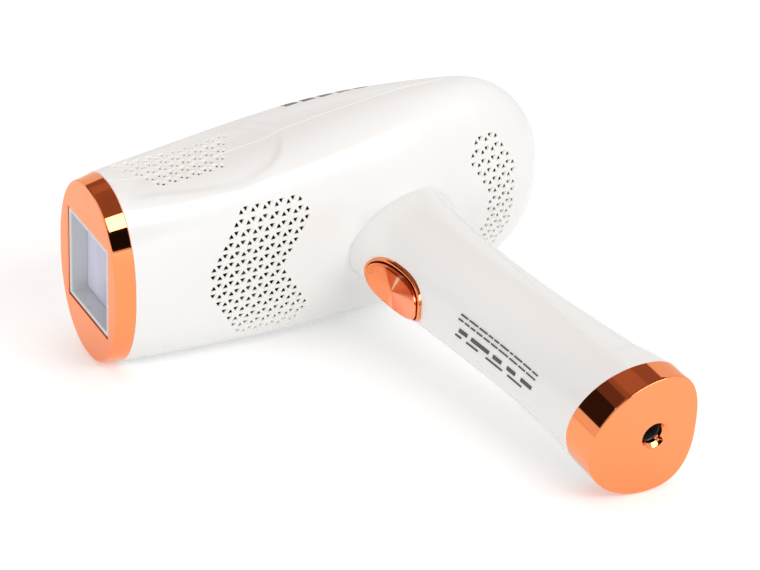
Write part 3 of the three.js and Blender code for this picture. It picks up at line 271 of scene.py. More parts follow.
def scoop(x, y):
    """How deep the shallow hollow in the head's flank is."""
    low = np.interp(x, SCOOP_X, SCOOP_LOW)
    high = 2 * HEAD_PARTING_Y - low
    depth = ease(0, 3.4, y - low) * ease(0, 5, high - y)
    return depth * ease(-66, -58, -x) * ease(RING_DEPTH, RING_DEPTH + 9, x)


def head_rows(settings, rows, around, inset=0.0, shaped=True):
    """Points of the head's surface, row by row from the nose to the tail."""
    straight = np.linspace(0, TAIL_START, int(rows * 0.68), endpoint=False)
    rounded = TAIL_START + (1 - TAIL_START) * np.sin(np.linspace(0, math.radians(88.6), rows - len(straight)))
    share = np.concatenate([straight, rounded])[:, None]
    centre_y, half_height, half_width, squareness = head_outline(share, inset)
    angle = turns(around)[None, :]
    reach = oval_reach(angle, half_width, half_height, squareness)
    x = np.broadcast_to(HEAD_FROM + (HEAD_TO - HEAD_FROM - inset) * share, reach.shape)
    y = centre_y + reach * np.sin(angle)
    z = reach * np.cos(angle)
    if shaped:
        side = ease(0.35, 0.8, np.abs(z) / np.maximum(half_width, 1))
        z = z - np.sign(z) * settings.scoop_depth * scoop(x, y) * side
        away = neck_distance(x, z)
        under = ease(0, 10, centre_y - y)
        y = y - settings.neck_fillet * np.exp(-away / settings.neck_spread) * under
    return np.stack([x, y, z], axis=-1)


def handle_rows(settings, rows, around, inset=0.0, shaped=True, top=3.0):
    """Points of the handle's surface, row by row from the head to the cap."""
    share = np.linspace(0, 1, rows)[:, None]
    front, back, widest, half_width = handle_edge(share, inset)
    angle = turns(around)[None, :]
    reach = handle_reach(angle, front, back, widest, half_width)
    x = widest + reach * np.cos(angle)
    z = reach * np.sin(angle)
    y = -HANDLE_LENGTH * share + share * (cap_joint_y(x) + HANDLE_LENGTH + SLIT / 2)
    if shaped:
        behind = ease(HANDLE_PARTING_X - 0.2, HANDLE_PARTING_X + 0.5, x)
        ends = ease(-98, -103.5, y)
        grow = (settings.neck_flare * np.exp(y / 3.2)
                - settings.strip_recess * behind * (1 - ends))
        length = np.maximum(np.hypot(x - widest, z), 1e-6)
        x = x + (x - widest) / length * grow
        z = z + z / length * grow
    points = np.stack([x, y, z], axis=-1)
    lifted = points[:1].copy()
    lifted[..., 1] = top
    return np.concatenate([lifted, points])


# ---------------------------------------------------------------- meshes

def new_piece(name, points, faces):
    mesh = bpy.data.meshes.new(name)
    mesh.from_pydata(placed(points).tolist(), [], faces)
    mesh.update()
    piece = bpy.data.objects.new(name, mesh)
    bpy.context.scene.collection.objects.link(piece)
    return piece


def face_out(piece):
    work = bmesh.new()
    work.from_mesh(piece.data)
    bmesh.ops.recalc_face_normals(work, faces=work.faces)
    work.to_mesh(piece.data)
    work.free()
    return piece


def strip_faces(rows, around, first=0):
    faces = []
    for row in range(rows - 1):
        for i in range(around):
            j = (i + 1) % around
            a = first + row * around
            faces.append((a + i, a + j, a + around + j, a + around + i))
    return faces


def closed_body(name, rings):
    """A solid through rings of equal length, with a point at the middle of each end."""
    rings = np.asarray(rings, float)
    rows, around, _ = rings.shape
    points = np.concatenate([rings.reshape(-1, 3), [rings[0].mean(0)], [rings[-1].mean(0)]])
    faces = strip_faces(rows, around)
    start, end = rows * around, rows * around + 1
    for i in range(around):
        j = (i + 1) % around
        faces.append((start, j, i))
        faces.append((end, (rows - 1) * around + i, (rows - 1) * around + j))
    return face_out(new_piece(name, points, faces))


def ring_body(name, rings):
    """A solid with a way through: the last ring joins the first."""
    rings = np.asarray(rings, float)
    rows, around, _ = rings.shape
    faces = strip_faces(rows, around)
    for i in range(around):
        j = (i + 1) % around
        faces.append(((rows - 1) * around + i, (rows - 1) * around + j, j, i))
    return face_out(new_piece(name, rings.reshape(-1, 3), faces))


def shell_body(name, outside, inside):
    """A casing open at its first ring: an outer and an inner skin joined round the opening."""
    rows, around, _ = outside.shape
    inner_rows = inside.shape[0]
    points = np.concatenate([outside.reshape(-1, 3), [outside[-1].mean(0)],
                             inside.reshape(-1, 3), [inside[-1].mean(0)]])
    second = rows * around + 1
    faces = strip_faces(rows, around)
    faces += strip_faces(inner_rows, around, second)
    for i in range(around):
        j = (i + 1) % around
        faces.append((rows * around, (rows - 1) * around + i, (rows - 1) * around + j))
        faces.append((second + inner_rows * around, second + (inner_rows - 1) * around + i,
                      second + (inner_rows - 1) * around + j))
        faces.append((i, j, second + j, second + i))
    return face_out(new_piece(name, points, faces))


def tube_body(name, outside, inside):
    """A casing open at both ends."""
    return ring_body(name, np.concatenate([outside, inside[::-1]]))


def block(name, low, high):
    """A plain box, as a cutter."""
    (x0, y0, z0), (x1, y1, z1) = low, high
    points = [(x, y, z) for x in (x0, x1) for y in (y0, y1) for z in (z0, z1)]
    faces = [(0, 1, 3, 2), (4, 6, 7, 5), (0, 4, 5, 1), (2, 3, 7, 6), (0, 2, 6, 4), (1, 5, 7, 3)]
    return face_out(new_piece(name, points, faces))


def carve(piece, cutter, how="DIFFERENCE", keep=False):
    """Cuts, joins or meets a piece with another solid."""
    modifier = piece.modifiers.new("cut", "BOOLEAN")
    modifier.operation = how
    modifier.solver = "MANIFOLD"
    modifier.object = cutter
    bpy.context.view_layer.update()
    graph = bpy.context.evaluated_depsgraph_get()
    mesh = bpy.data.meshes.new_from_object(piece.evaluated_get(graph))
    piece.modifiers.clear()
    old = piece.data
    piece.data = mesh
    bpy.data.meshes.remove(old)
    if not keep:
        discard(cutter)
    if not len(mesh.polygons):
        raise RuntimeError(f"nothing is left of {piece.name}")
    return piece


def discard(piece):
    mesh = piece.data
    bpy.data.objects.remove(piece)
    bpy.data.meshes.remove(mesh)


def twin(piece, name):
    """A copy of a piece with its own mesh."""
    copy = bpy.data.objects.new(name, piece.data.copy())
    copy.data.name = name
    bpy.context.scene.collection.objects.link(copy)
    return copy


def smooth(piece, angle=32):
    piece.data.shade_smooth()
    piece.data.set_sharp_from_angle(angle=math.radians(angle))


class Surface:
    """A casing before it was cut: it says which way the smooth surface faces at a point."""

    def __init__(self, rings):
        rows, around, _ = rings.shape
        self.points = [Vector(p) for p in placed(rings.reshape(-1, 3))]
        self.faces = strip_faces(rows, around)
        self.tree = BVHTree.FromPolygons(self.points, self.faces)
        grid = placed(rings.reshape(-1, 3)).reshape(rows, around, 3)
        down = np.gradient(grid, axis=0)
        across = np.roll(grid, -1, axis=1) - np.roll(grid, 1, axis=1)
        normal = np.cross(down, across)
        normal /= np.maximum(np.linalg.norm(normal, axis=-1, keepdims=True), 1e-12)
        middle = grid.mean(axis=(0, 1))
        if np.sum(normal * (grid - middle)) < 0:
            normal = -normal
        self.normals = [Vector(n) for n in normal.reshape(-1, 3)]

    def normal_at(self, point, reach=0.00012):
        """The smooth normal, or nothing where the point is off the surface."""
        spot, _, index, distance = self.tree.find_nearest(point)
        if index is None or distance > reach:
            return None
        corners = self.faces[index]
        weights = poly_3d_calc([self.points[c] for c in corners], spot)
        total = Vector((0, 0, 0))
        for corner, weight in zip(corners, weights):
            total += self.normals[corner] * weight
        return total.normalized()


def shade_from(piece, surfaces, limit=50):
    """Faces on a surface take its smooth normals; cut faces stay flat."""
    mesh = piece.data
    known = {}
    for vertex in mesh.vertices:
        known[vertex.index] = [s.normal_at(vertex.co) for s in surfaces]
    least = math.cos(math.radians(limit))
    normals = []
    for face in mesh.polygons:
        chosen = None
        for number in range(len(surfaces)):
            found = [known[v][number] for v in face.vertices]
            if all(n is not None and n.dot(face.normal) > least for n in found):
                chosen = found
                break
        for place in range(face.loop_total):
            normals.append(chosen[place] if chosen else face.normal)
    mesh.shade_smooth()
    mesh.normals_split_custom_set(normals)


def rounded_rectangle(half_y, half_z, radius, count, x):
    """Points round a rectangle with rounded corners, a quarter of them to each corner."""
    quarter = count // 4
    on_arc = max(4, quarter // 6)
    points = []
    for q in range(4):
        turn = q * math.pi / 2
        along, beside = (half_z, half_y) if q % 2 == 0 else (half_y, half_z)
        side = (quarter - on_arc) // 2
        other = quarter - on_arc - side
        path = [(along, beside_share * (beside - radius)) for beside_share in np.arange(side) / side]
        for step in range(on_arc):
            angle = math.pi / 2 * step / on_arc
            path.append((along + radius * (math.cos(angle) - 1), beside + radius * (math.sin(angle) - 1)))
        path += [((1 - share) * (along - radius), beside) for share in np.arange(other) / other]
        for u, v in path:
            z = u * math.cos(turn) - v * math.sin(turn)
            y = u * math.sin(turn) + v * math.cos(turn)
            points.append((x, NOSE_Y + y, z))
    return np.array(points)


def bevel_steps(radius, count=5):
    """Pairs (along, inward) round a quarter circle: from the side to the face."""
    angles = np.linspace(0, math.pi / 2, count)
    return [(radius * (1 - math.sin(a)), radius * (1 - math.cos(a))) for a in angles]


# ---------------------------------------------------------------- sizes and colours a user can change

class HeadSettings(bpy.types.PropertyGroup):
    vent_pitch: FloatProperty(
        name="Vent pitch", description="Side of a triangle of the vent lattice, mm",
        default=3.9, min=2, max=8)
    vent_rib: FloatProperty(
        name="Vent rib", description="Width of the web between two vents, mm",
        default=0.9, min=0.3, max=1.5)
    vent_rows: IntProperty(
        name="Vent rows", description="Rows of vents on each side of the middle", default=7, min=1, max=9)
    scoop_depth: FloatProperty(
        name="Scoop depth", description="Depth of the hollow in the head's flank, mm",
        default=1.0, min=0, max=1.6)
    neck_fillet: FloatProperty(
        name="Neck fillet", description="How far the head swells towards the handle, mm",
        default=3.0, min=0, max=4)
    neck_spread: FloatProperty(
        name="Neck spread", description="How far out the swelling reaches, mm", default=5.5, min=1, max=12)


class HandleSettings(bpy.types.PropertyGroup):
    neck_flare: FloatProperty(
        name="Neck flare", description="How far the handle widens where it meets the head, mm",
        default=0.9, min=0, max=3)
    strip_recess: FloatProperty(
        name="Back strip recess", description="How far the back cover lies in from the front cover, mm",
        default=0.5, min=0, max=1.2)
    print_strength: FloatProperty(
        name="Printed lines", description="Thickness of the printed lines, mm",
        default=0.05, min=0.01, max=0.2)


class FinishSettings(bpy.types.PropertyGroup):
    pearl: FloatVectorProperty(
        name="Pearl", description="Colour of the casings", subtype="COLOR",
        default=(0.71, 0.715, 0.705), min=0, max=1)
    rose_gold: FloatVectorProperty(
        name="Rose gold", description="Colour of the plated trim", subtype="COLOR",
        default=(1.0, 0.325, 0.13), min=0, max=1)
    pearl_roughness: FloatProperty(
        name="Casing roughness", description="Roughness of the casings", default=0.24, min=0, max=1)
    plate_roughness: FloatProperty(
        name="Plating roughness", description="Roughness of the plated trim", default=0.03, min=0, max=1)


class StageSettings(bpy.types.PropertyGroup):
    focal_length: FloatProperty(
        name="Focal length", description="Focal length of the camera",
        default=136.17, min=20, max=400, unit="CAMERA")
    key_power: FloatProperty(
        name="Key light", description="Power of the light that the casing mirrors",
        default=8.0, min=0, max=200, unit="POWER")
    floor_shade: FloatProperty(
        name="Floor shade", description="How light the floor is",
        default=0.76, min=0, max=1, subtype="FACTOR")


SETTINGS = (
    ("remover_head", HeadSettings),
    ("remover_handle", HandleSettings),
    ("remover_finish", FinishSettings),
    ("remover_stage", StageSettings),
)


# ---------------------------------------------------------------- finishes

def new_group(name, inputs, outputs):
    """An effect that several finishes use, with named inputs and outputs."""
    group = bpy.data.node_groups.get(name)
    if group:
        return group, None, None
    group = bpy.data.node_groups.new(name, "ShaderNodeTree")
    for label, kind, value in inputs:
        socket = group.interface.new_socket(name=label, in_out="INPUT", socket_type=kind)
        if value is not None:
            socket.default_value = value
    for label, kind in outputs:
        group.interface.new_socket(name=label, in_out="OUTPUT", socket_type=kind)
    return group, group.nodes.new("NodeGroupInput"), group.nodes.new("NodeGroupOutput")


def wire(tree, source, out, target, into):
    tree.links.new(source.outputs[out], target.inputs[into])


def add_node(tree, kind, **values):
    node = tree.nodes.new(kind)
    for key, value in values.items():
        setattr(node, key, value)
    return node


def moulded_group():
    """Moulded plastic: a slow drift in shade, a faint flow of the surface and fine grain."""
    group, start, end = new_group(
        "Moulded surface",
        (("Tint A", "NodeSocketColor", None), ("Tint B", "NodeSocketColor", None),
         ("Roughness", "NodeSocketFloat", 0.3), ("Drift", "NodeSocketFloat", 0.06),
         ("Grain size", "NodeSocketFloat", 2600.0), ("Grain", "NodeSocketFloat", 0.2)),
        (("Color", "NodeSocketColor"), ("Roughness", "NodeSocketFloat"), ("Height", "NodeSocketFloat")))
    if start is None:
        return group
    place = add_node(group, "ShaderNodeTexCoord")
    slow = add_node(group, "ShaderNodeTexNoise")
    put_values(slow, {"Scale": 22, "Detail": 3})
    mix = add_node(group, "ShaderNodeMix", data_type="RGBA")
    fine = add_node(group, "ShaderNodeTexNoise")
    put_values(fine, {"Detail": 2})
    flow = add_node(group, "ShaderNodeTexNoise")
    put_values(flow, {"Scale": 90, "Detail": 1})
    rough = add_node(group, "ShaderNodeMapRange")
    less = add_node(group, "ShaderNodeMath", operation="SUBTRACT")
    more = add_node(group, "ShaderNodeMath", operation="ADD")
    height = add_node(group, "ShaderNodeMath", operation="MULTIPLY_ADD")
    wire(group, place, "Object", slow, "Vector")
    wire(group, place, "Object", fine, "Vector")
    wire(group, place, "Object", flow, "Vector")
    wire(group, start, "Grain size", fine, "Scale")
    wire(group, slow, "Fac", mix, "Factor")
    wire(group, start, "Tint A", mix, "A")
    wire(group, start, "Tint B", mix, "B")
    wire(group, start, "Roughness", less, 0)
    wire(group, start, "Drift", less, 1)
    wire(group, start, "Roughness", more, 0)
    wire(group, start, "Drift", more, 1)
    wire(group, slow, "Fac", rough, "Value")
    wire(group, less, "Value", rough, "To Min")
    wire(group, more, "Value", rough, "To Max")
    wire(group, fine, "Fac", height, 0)
    wire(group, start, "Grain", height, 1)
    wire(group, flow, "Fac", height, 2)
    group.links.new(mix.outputs["Result"], end.inputs["Color"])
    wire(group, rough, "Result", end, "Roughness")
    wire(group, height, "Value", end, "Height")
    return group


def handled_group():
    """Polished metal that has been handled: faint smears and hairlines that dull it in places."""
    group, start, end = new_group(
        "Handled metal",
        (("Tint A", "NodeSocketColor", None), ("Tint B", "NodeSocketColor", None),
         ("Roughness", "NodeSocketFloat", 0.1), ("Smear", "NodeSocketFloat", 0.05),
         ("Scratch size", "NodeSocketFloat", 300.0)),
        (("Color", "NodeSocketColor"), ("Roughness", "NodeSocketFloat"), ("Height", "NodeSocketFloat")))
    if start is None:
        return group
    place = add_node(group, "ShaderNodeTexCoord")
    smear = add_node(group, "ShaderNodeTexNoise")
    put_values(smear, {"Scale": 70, "Detail": 5, "Distortion": 0.6})
    lines = add_node(group, "ShaderNodeTexNoise")
    put_values(lines, {"Detail": 4})
    stretch = add_node(group, "ShaderNodeMapping")
    put_values(stretch, {"Scale": (1, 0.06, 1), "Rotation": (0.4, 0.2, 0.6)})
    ramp = add_node(group, "ShaderNodeMapRange")
    put_values(ramp, {"From Min": 0.45, "From Max": 0.75})
    rough = add_node(group, "ShaderNodeMath", operation="MULTIPLY_ADD")
    mix = add_node(group, "ShaderNodeMix", data_type="RGBA")
    wire(group, place, "Object", smear, "Vector")
    wire(group, place, "Object", stretch, "Vector")
    wire(group, stretch, "Vector", lines, "Vector")
    wire(group, start, "Scratch size", lines, "Scale")
    wire(group, smear, "Fac", ramp, "Value")
    wire(group, ramp, "Result", rough, 0)
    wire(group, start, "Smear", rough, 1)
    wire(group, start, "Roughness", rough, 2)
    wire(group, smear, "Fac", mix, "Factor")
    wire(group, start, "Tint A", mix, "A")
    wire(group, start, "Tint B", mix, "B")
    group.links.new(mix.outputs["Result"], end.inputs["Color"])
    wire(group, rough, "Value", end, "Roughness")
    wire(group, lines, "Fac", end, "Height")
    return group


def start_finish(name):
    """A new finish with its shader, or the one made before."""
    material = bpy.data.materials.get(name)
    if material:
        return material, None, None
    material = bpy.data.materials.new(name)
    material.use_nodes = True
    return material, material.node_tree, material.node_tree.nodes["Principled BSDF"]


def put_values(shader, values):
    for key, value in values.items():
        shader.inputs[key].default_value = value


def add_bump(tree, shader, source, strength, distance):
    bump = add_node(tree, "ShaderNodeBump")
    put_values(bump, {"Strength": strength, "Distance": distance})
    tree.links.new(source, bump.inputs["Height"])
    wire(tree, bump, "Normal", shader, "Normal")


def start_effect(name, group, light, dark, values):
    """A new finish whose colour and roughness come from a shared effect, or the one made before."""
    material, tree, shader = start_finish(name)
    if tree is None:
        return material, None, None, None
    effect = add_node(tree, "ShaderNodeGroup", node_tree=group())
    put_values(effect, {"Tint A": (*light, 1), "Tint B": (*dark, 1), **values})
    wire(tree, effect, "Color", shader, "Base Color")
    wire(tree, effect, "Roughness", shader, "Roughness")
    return material, tree, shader, effect


def moulded(name, light, dark, roughness, drift=0.05, grain=0.25, grain_size=2600.0, bump=0.05, **values):
    values_in = {"Roughness": roughness, "Drift": drift, "Grain": grain, "Grain size": grain_size}
    material, tree, shader, effect = start_effect(name, moulded_group, light, dark, values_in)
    if tree is None:
        return material
    add_bump(tree, shader, effect.outputs["Height"], bump, 0.0002)
    put_values(shader, values)
    return material


def metal(name, light, dark, roughness, smear=0.04, scratch_size=300.0, bump=0.01, **values):
    values_in = {"Roughness": roughness, "Smear": smear, "Scratch size": scratch_size}
    material, tree, shader, effect = start_effect(name, handled_group, light, dark, values_in)
    if tree is None:
        return material
    add_bump(tree, shader, effect.outputs["Height"], bump, 0.0001)
    put_values(shader, {"Metallic": 1.0, **values})
    return material


def shaded(colour, factor):
    return tuple(min(1.0, c * factor) for c in colour)


def pearl_casing(settings):
    return moulded("Pearl casing", settings.pearl, shaded(settings.pearl, 0.985), settings.pearl_roughness,
                   drift=0.02, grain=0.1, bump=0.02, **{"Coat Weight": 0.5, "Coat Roughness": 0.08,
                                                       "Specular IOR Level": 0.5})


def casing_wall_painted_glow():
    """The cut edges of the casing: a lighter copy of the casing's plastic with a painted glow (emission) that
    stands for light soaking through the plastic.
    """
    return moulded("Casing wall painted glow", (0.86, 0.84, 0.8), (0.83, 0.81, 0.77), 0.4, bump=0.02,
                   **{"Emission Color": (1, 0.97, 0.92, 1), "Emission Strength": 0.17})


def casing_inside_painted_shade():
    # Painted shade: the inner skin is near-black, standing for the dark inside of the casing that shows
    # through the vents.
    return moulded("Casing inside painted shade", (0.02, 0.02, 0.02), (0.012, 0.012, 0.012), 0.7, grain=0.5, bump=0.2)


def rose_gold(settings):
    return metal("Rose gold plate", settings.rose_gold, shaded(settings.rose_gold, 0.96),
                 settings.plate_roughness, smear=0.02, bump=0.003)


# Angle round the middle of a spun face, from -180 degrees at 0 to 180 at 1, and the painted tone there:
# lighter and darker wedges that stand for the reflections of the spun plating, fixed in the colour.
PAINTED_REFLECTION_TONES = (
    (0.0, (1.0, 0.30, 0.12)), (0.2, (1.0, 0.30, 0.12)),
    (0.26, (1.0, 0.42, 0.24)), (0.29, (0.95, 0.22, 0.11)),
    (0.42, (1.0, 0.30, 0.16)), (0.54, (1.0, 0.38, 0.2)),
    (0.57, (0.66, 0.085, 0.02)), (0.665, (0.78, 0.15, 0.045)),
    (0.685, (1.0, 0.6, 0.42)), (0.715, (0.74, 0.12, 0.03)),
    (0.82, (0.70, 0.1, 0.025)), (0.85, (1.0, 0.30, 0.12)),
)


def painted_reflection_wedges(tree, place):
    """Painted reflections: wedges of lighter and darker tone round the middle, fixed in the colour, standing
    for the highlights and dark reflections that a spun plated face shows.
    """
    parts = add_node(tree, "ShaderNodeSeparateXYZ")
    angle = add_node(tree, "ShaderNodeMath", operation="ARCTAN2")
    turn = add_node(tree, "ShaderNodeMapRange")
    put_values(turn, {"From Min": -math.pi, "From Max": math.pi})
    wire(tree, place, "Object", parts, "Vector")
    tree.links.new(parts.outputs["Y"], angle.inputs[0])
    tree.links.new(parts.outputs["X"], angle.inputs[1])
    wire(tree, angle, "Value", turn, "Value")
    ramp = add_node(tree, "ShaderNodeValToRGB")
    stops = ramp.color_ramp.elements
    stops[1].position, stops[1].color = PAINTED_REFLECTION_TONES[-1][0], (*PAINTED_REFLECTION_TONES[-1][1], 1)
    stops[0].color = (*PAINTED_REFLECTION_TONES[0][1], 1)
    for position, tone in PAINTED_REFLECTION_TONES[1:-1]:
        stops.new(position).color = (*tone, 1)
    wire(tree, turn, "Result", ramp, "Fac")
    return ramp


def spun_rose_gold_painted_reflections(settings):
    """Plating over a spun face: fine rings round the piece's own z axis, with painted reflection wedges in
    its colour.
    """
    values_in = {"Roughness": 0.16, "Smear": 0.05, "Scratch size": 500.0}
    material, tree, shader, effect = start_effect("Spun rose gold with painted reflections", handled_group, settings.rose_gold,
                                                  shaded(settings.rose_gold, 0.9), values_in)
    if tree is None:
        return material
    place = add_node(tree, "ShaderNodeTexCoord")
    wedges = painted_reflection_wedges(tree, place)
    wire(tree, wedges, "Color", effect, "Tint A")
    wire(tree, wedges, "Color", effect, "Tint B")
    rings = add_node(tree, "ShaderNodeTexWave", wave_type="RINGS", rings_direction="Z", wave_profile="SIN")
    put_values(rings, {"Scale": 900.0, "Distortion": 0.4, "Detail": 2.0})
    tangent = add_node(tree, "ShaderNodeTangent", direction_type="RADIAL", axis="Z")
    wire(tree, place, "Object", rings, "Vector")
    wire(tree, tangent, "Tangent", shader, "Tangent")
    add_bump(tree, shader, rings.outputs["Fac"], 0.06, 0.00004)
    put_values(shader, {"Metallic": 1.0, "Anisotropic": 0.75})
    return material


def clear_glass(name, colour, roughness, bump=0.01):
    values_in = {"Roughness": roughness, "Smear": 0.03, "Scratch size": 200.0}
    material, tree, shader, effect = start_effect(name, handled_group, colour, shaded(colour, 0.97),
                                                  values_in)
    if tree is None:
        return material
    add_bump(tree, shader, effect.outputs["Height"], bump, 0.0001)
    put_values(shader, {"Transmission Weight": 0.8, "IOR": 1.46})
    return material


def circuit_board():
    """Solder mask with fine tracks in two directions."""
    material, tree, shader = start_finish("Circuit board")
    if tree is None:
        return material
    place = add_node(tree, "ShaderNodeTexCoord")
    tracks = add_node(tree, "ShaderNodeTexBrick")
    put_values(tracks, {"Color1": (0.004, 0.03, 0.014, 1), "Color2": (0.005, 0.036, 0.017, 1),
                        "Mortar": (0.01, 0.07, 0.03, 1), "Scale": 260.0, "Mortar Size": 0.03})
    wire(tree, place, "Object", tracks, "Vector")
    wire(tree, tracks, "Color", shader, "Base Color")
    add_bump(tree, shader, tracks.outputs["Fac"], 0.3, 0.0001)
    put_values(shader, {"Roughness": 0.35, "Coat Weight": 0.3})
    return material


def wound_copper():
    """Enamelled wire, wound close."""
    material, tree, shader = start_finish("Wound copper")
    if tree is None:
        return material
    place = add_node(tree, "ShaderNodeTexCoord")
    turns_of_wire = add_node(tree, "ShaderNodeTexWave", bands_direction="X", wave_profile="SIN")
    put_values(turns_of_wire, {"Scale": 700.0, "Distortion": 0.3})
    ramp = add_node(tree, "ShaderNodeValToRGB")
    ramp.color_ramp.elements[0].color = (0.22, 0.07, 0.02, 1)
    ramp.color_ramp.elements[1].color = (0.72, 0.3, 0.11, 1)
    wire(tree, place, "Object", turns_of_wire, "Vector")
    wire(tree, turns_of_wire, "Fac", ramp, "Fac")
    wire(tree, ramp, "Color", shader, "Base Color")
    add_bump(tree, shader, turns_of_wire.outputs["Fac"], 0.5, 0.0002)
    put_values(shader, {"Metallic": 1.0, "Roughness": 0.32})
    return material


def dress(piece, *materials):
    """Gives a piece its finishes."""
    piece.data.materials.clear()
    for material in materials:
        piece.data.materials.append(material)


def keep_in_box(piece):
    """Moves onto the sides of the frame's box the few points that stand out of it, by under 0.1 mm."""
    place = piece.matrix_world.copy()
    back = place.inverted()
    low, high = CAD_BOX
    for vertex in piece.data.vertices:
        spot = place @ vertex.co
        held = Vector([min(max(spot[i], low[i]), high[i]) for i in range(3)])
        if held != spot:
            vertex.co = back @ held


def stand_in(piece, node, body="hand_piece"):
    """Makes a piece ride on its body in place of its frame node."""
    keep_in_box(piece)
    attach(piece, body)
    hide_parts(node)
    return piece


# ---------------------------------------------------------------- nose

def nose_oval(x, inset):
    angle = turns(NOSE_POINTS)
    grow = RING_FLARE * x / RING_DEPTH - inset
    reach = oval_reach(angle, RING_HALF_WIDTH + grow, RING_HALF_HEIGHT + grow, RING_SQUARENESS)
    return np.stack([np.full(NOSE_POINTS, x), NOSE_Y + reach * np.sin(angle), reach * np.cos(angle)], axis=-1)


def build_nose_ring(context):
    half_y, half_z = WINDOW_HALF
    rings = [nose_oval(RING_DEPTH, SKIN + 0.15), nose_oval(RING_DEPTH - 0.15, SKIN),
             nose_oval(RING_DEPTH - 0.5, SKIN), nose_oval(RING_BEVEL + 0.4, SKIN)]
    for along, inward in bevel_steps(RING_BEVEL, 7):
        rings.append(nose_oval(along, SKIN + inward))
    rings.append(nose_oval(0, SKIN + RING_BEVEL + 0.25))
    for grow, x in ((0.7, 0), (0.3, 0), (0.1, 0.06), (0.02, 0.18), (0, 0.35), (0, 0.8), (0, RING_PLATE)):
        rings.append(rounded_rectangle(half_y + grow, half_z + grow, 0.6 + grow, NOSE_POINTS, x))
    rings.append(nose_oval(RING_PLATE, RING_WALL))
    rings.append(nose_oval(RING_DEPTH, RING_WALL))
    ring = ring_body("plated_nose_ring", rings)
    smooth(ring)
    dress(ring, rose_gold(context.scene.remover_finish))
    return stand_in(ring, "nose_ring")


def build_window_frame():
    around = NOSE_POINTS
    out_y, out_z = WINDOW_HALF[0] - 0.3, WINDOW_HALF[1] - 0.3
    in_y, in_z = out_y - FRAME_RIM, out_z - FRAME_RIM
    rings = [rounded_rectangle(out_y, out_z, 0.5, around, x) for x in (WINDOW_DEPTH, 0.9, 0.6)]
    for along, inward in bevel_steps(0.3, 4):
        rings.append(rounded_rectangle(out_y - inward, out_z - inward, 0.5, around, 0.3 + along))
    rings.append(rounded_rectangle(out_y - 0.45, out_z - 0.45, 0.5, around, 0.3))
    rings.append(rounded_rectangle(in_y + 0.4, in_z + 0.4, 0.7, around, 0.3))
    for grow, x in ((0.25, 0.32), (0.08, 0.42), (0, 0.6), (0, 1.0), (0, WINDOW_DEPTH)):
        rings.append(rounded_rectangle(in_y + grow, in_z + grow, 0.6, around, x))
    frame_piece = ring_body("window_liner", rings)
    smooth(frame_piece)
    # The liner's grey-blue colour is painted shade: the white moulding darkened to the shade it takes in the
    # window's recess.
    dress(frame_piece, moulded("Window liner", (0.58, 0.6, 0.62), (0.55, 0.575, 0.6), 0.28, bump=0.02,
                               **{"Coat Weight": 0.3}))
    return stand_in(frame_piece, "window_frame")


# ---------------------------------------------------------------- head

def lattice_cell(settings, half_step, row, trim=0.3):
    """Corners of one vent of the lattice, its tips trimmed."""
    row_height = settings.vent_pitch * math.sqrt(3) / 2
    points_in = (half_step + row) % 2 == 0
    middle_u = half_step * settings.vent_pitch / 2
    middle_v = (row + 0.5) * row_height + (1 if points_in else -1) * row_height / 6
    side = settings.vent_pitch - settings.vent_rib * math.sqrt(3)
    tip = -1 if points_in else 1
    corners = [np.array((middle_u, middle_v + tip * side / math.sqrt(3))),
               np.array((middle_u - side / 2, middle_v - tip * side / math.sqrt(12))),
               np.array((middle_u + side / 2, middle_v - tip * side / math.sqrt(12)))]
    outline = []
    for k in range(3):
        here, before, after = corners[k], corners[k - 1], corners[(k + 1) % 3]
        outline.append(here + (before - here) * trim / side)
        outline.append(here + (after - here) * trim / side)
    return outline


def prisms(name, outlines, low, high):
    """One cutter from many outlines; low and high turn an outline's point into its two ends."""
    points, faces = [], []
    for outline in outlines:
        base, count = len(points), len(outline)
        points += [low(u, v) for u, v in outline] + [high(u, v) for u, v in outline]
        faces.append(tuple(range(base, base + count)))
        faces.append(tuple(range(base + 2 * count - 1, base + count - 1, -1)))
        for i in range(count):
            j = (i + 1) % count
            faces.append((base + i, base + count + i, base + count + j, base + j))
    return face_out(new_piece(name, np.array(points), faces))


def underside_vents(settings):
    outlines = []
    for row in range(settings.vent_rows):
        front = (max(-6, row - 7), min(6 + row, 15 - row), FRONT_VENT_X)
        rear = (max(min(-1, -row), row - 9), min(4, 7 - row), REAR_VENT_X)
        for first, last, middle in (front, rear):
            for half_step in range(first, last + 1):
                cell = lattice_cell(settings, half_step, row)
                for side in (1, -1):
                    outlines.append([(middle + u, side * v) for u, v in cell])
    low, high = UNDERSIDE_CUT
    return prisms("underside_cutter", outlines, lambda u, v: (u, low, v), lambda u, v: (u, high, v))


def flank_vents(settings, side):
    row_height = settings.vent_pitch * math.sqrt(3) / 2
    base_x = SIDE_VENT_X - 5 * settings.vent_pitch
    base_y = HEAD_PARTING_Y - SIDE_ROWS_BELOW * row_height
    outlines = []
    for row in range(SIDE_VENT_ROWS):
        for half_step in range(-row, SIDE_VENT_HOLES + row):
            cell = lattice_cell(settings, half_step + 10, row)
            outlines.append([(base_x + u, base_y + v) for u, v in cell])
    near, far = (side * distance for distance in FLANK_CUT)
    return prisms("flank_cutter", outlines, lambda u, v: (u, v, near), lambda u, v: (u, v, far))


def head_section(x):
    return head_outline(np.asarray((x - HEAD_FROM) / (HEAD_TO - HEAD_FROM)), SKIN)


def head_top_y(x, z):
    centre_y, half_height, half_width, squareness = head_section(x)
    return centre_y + half_height * (1 - (np.abs(z) / half_width) ** squareness) ** (1 / squareness)


def head_flank_z(x, y):
    centre_y, half_height, half_width, squareness = head_section(x)
    return half_width * (1 - (np.abs(y - centre_y) / half_height) ** squareness) ** (1 / squareness)


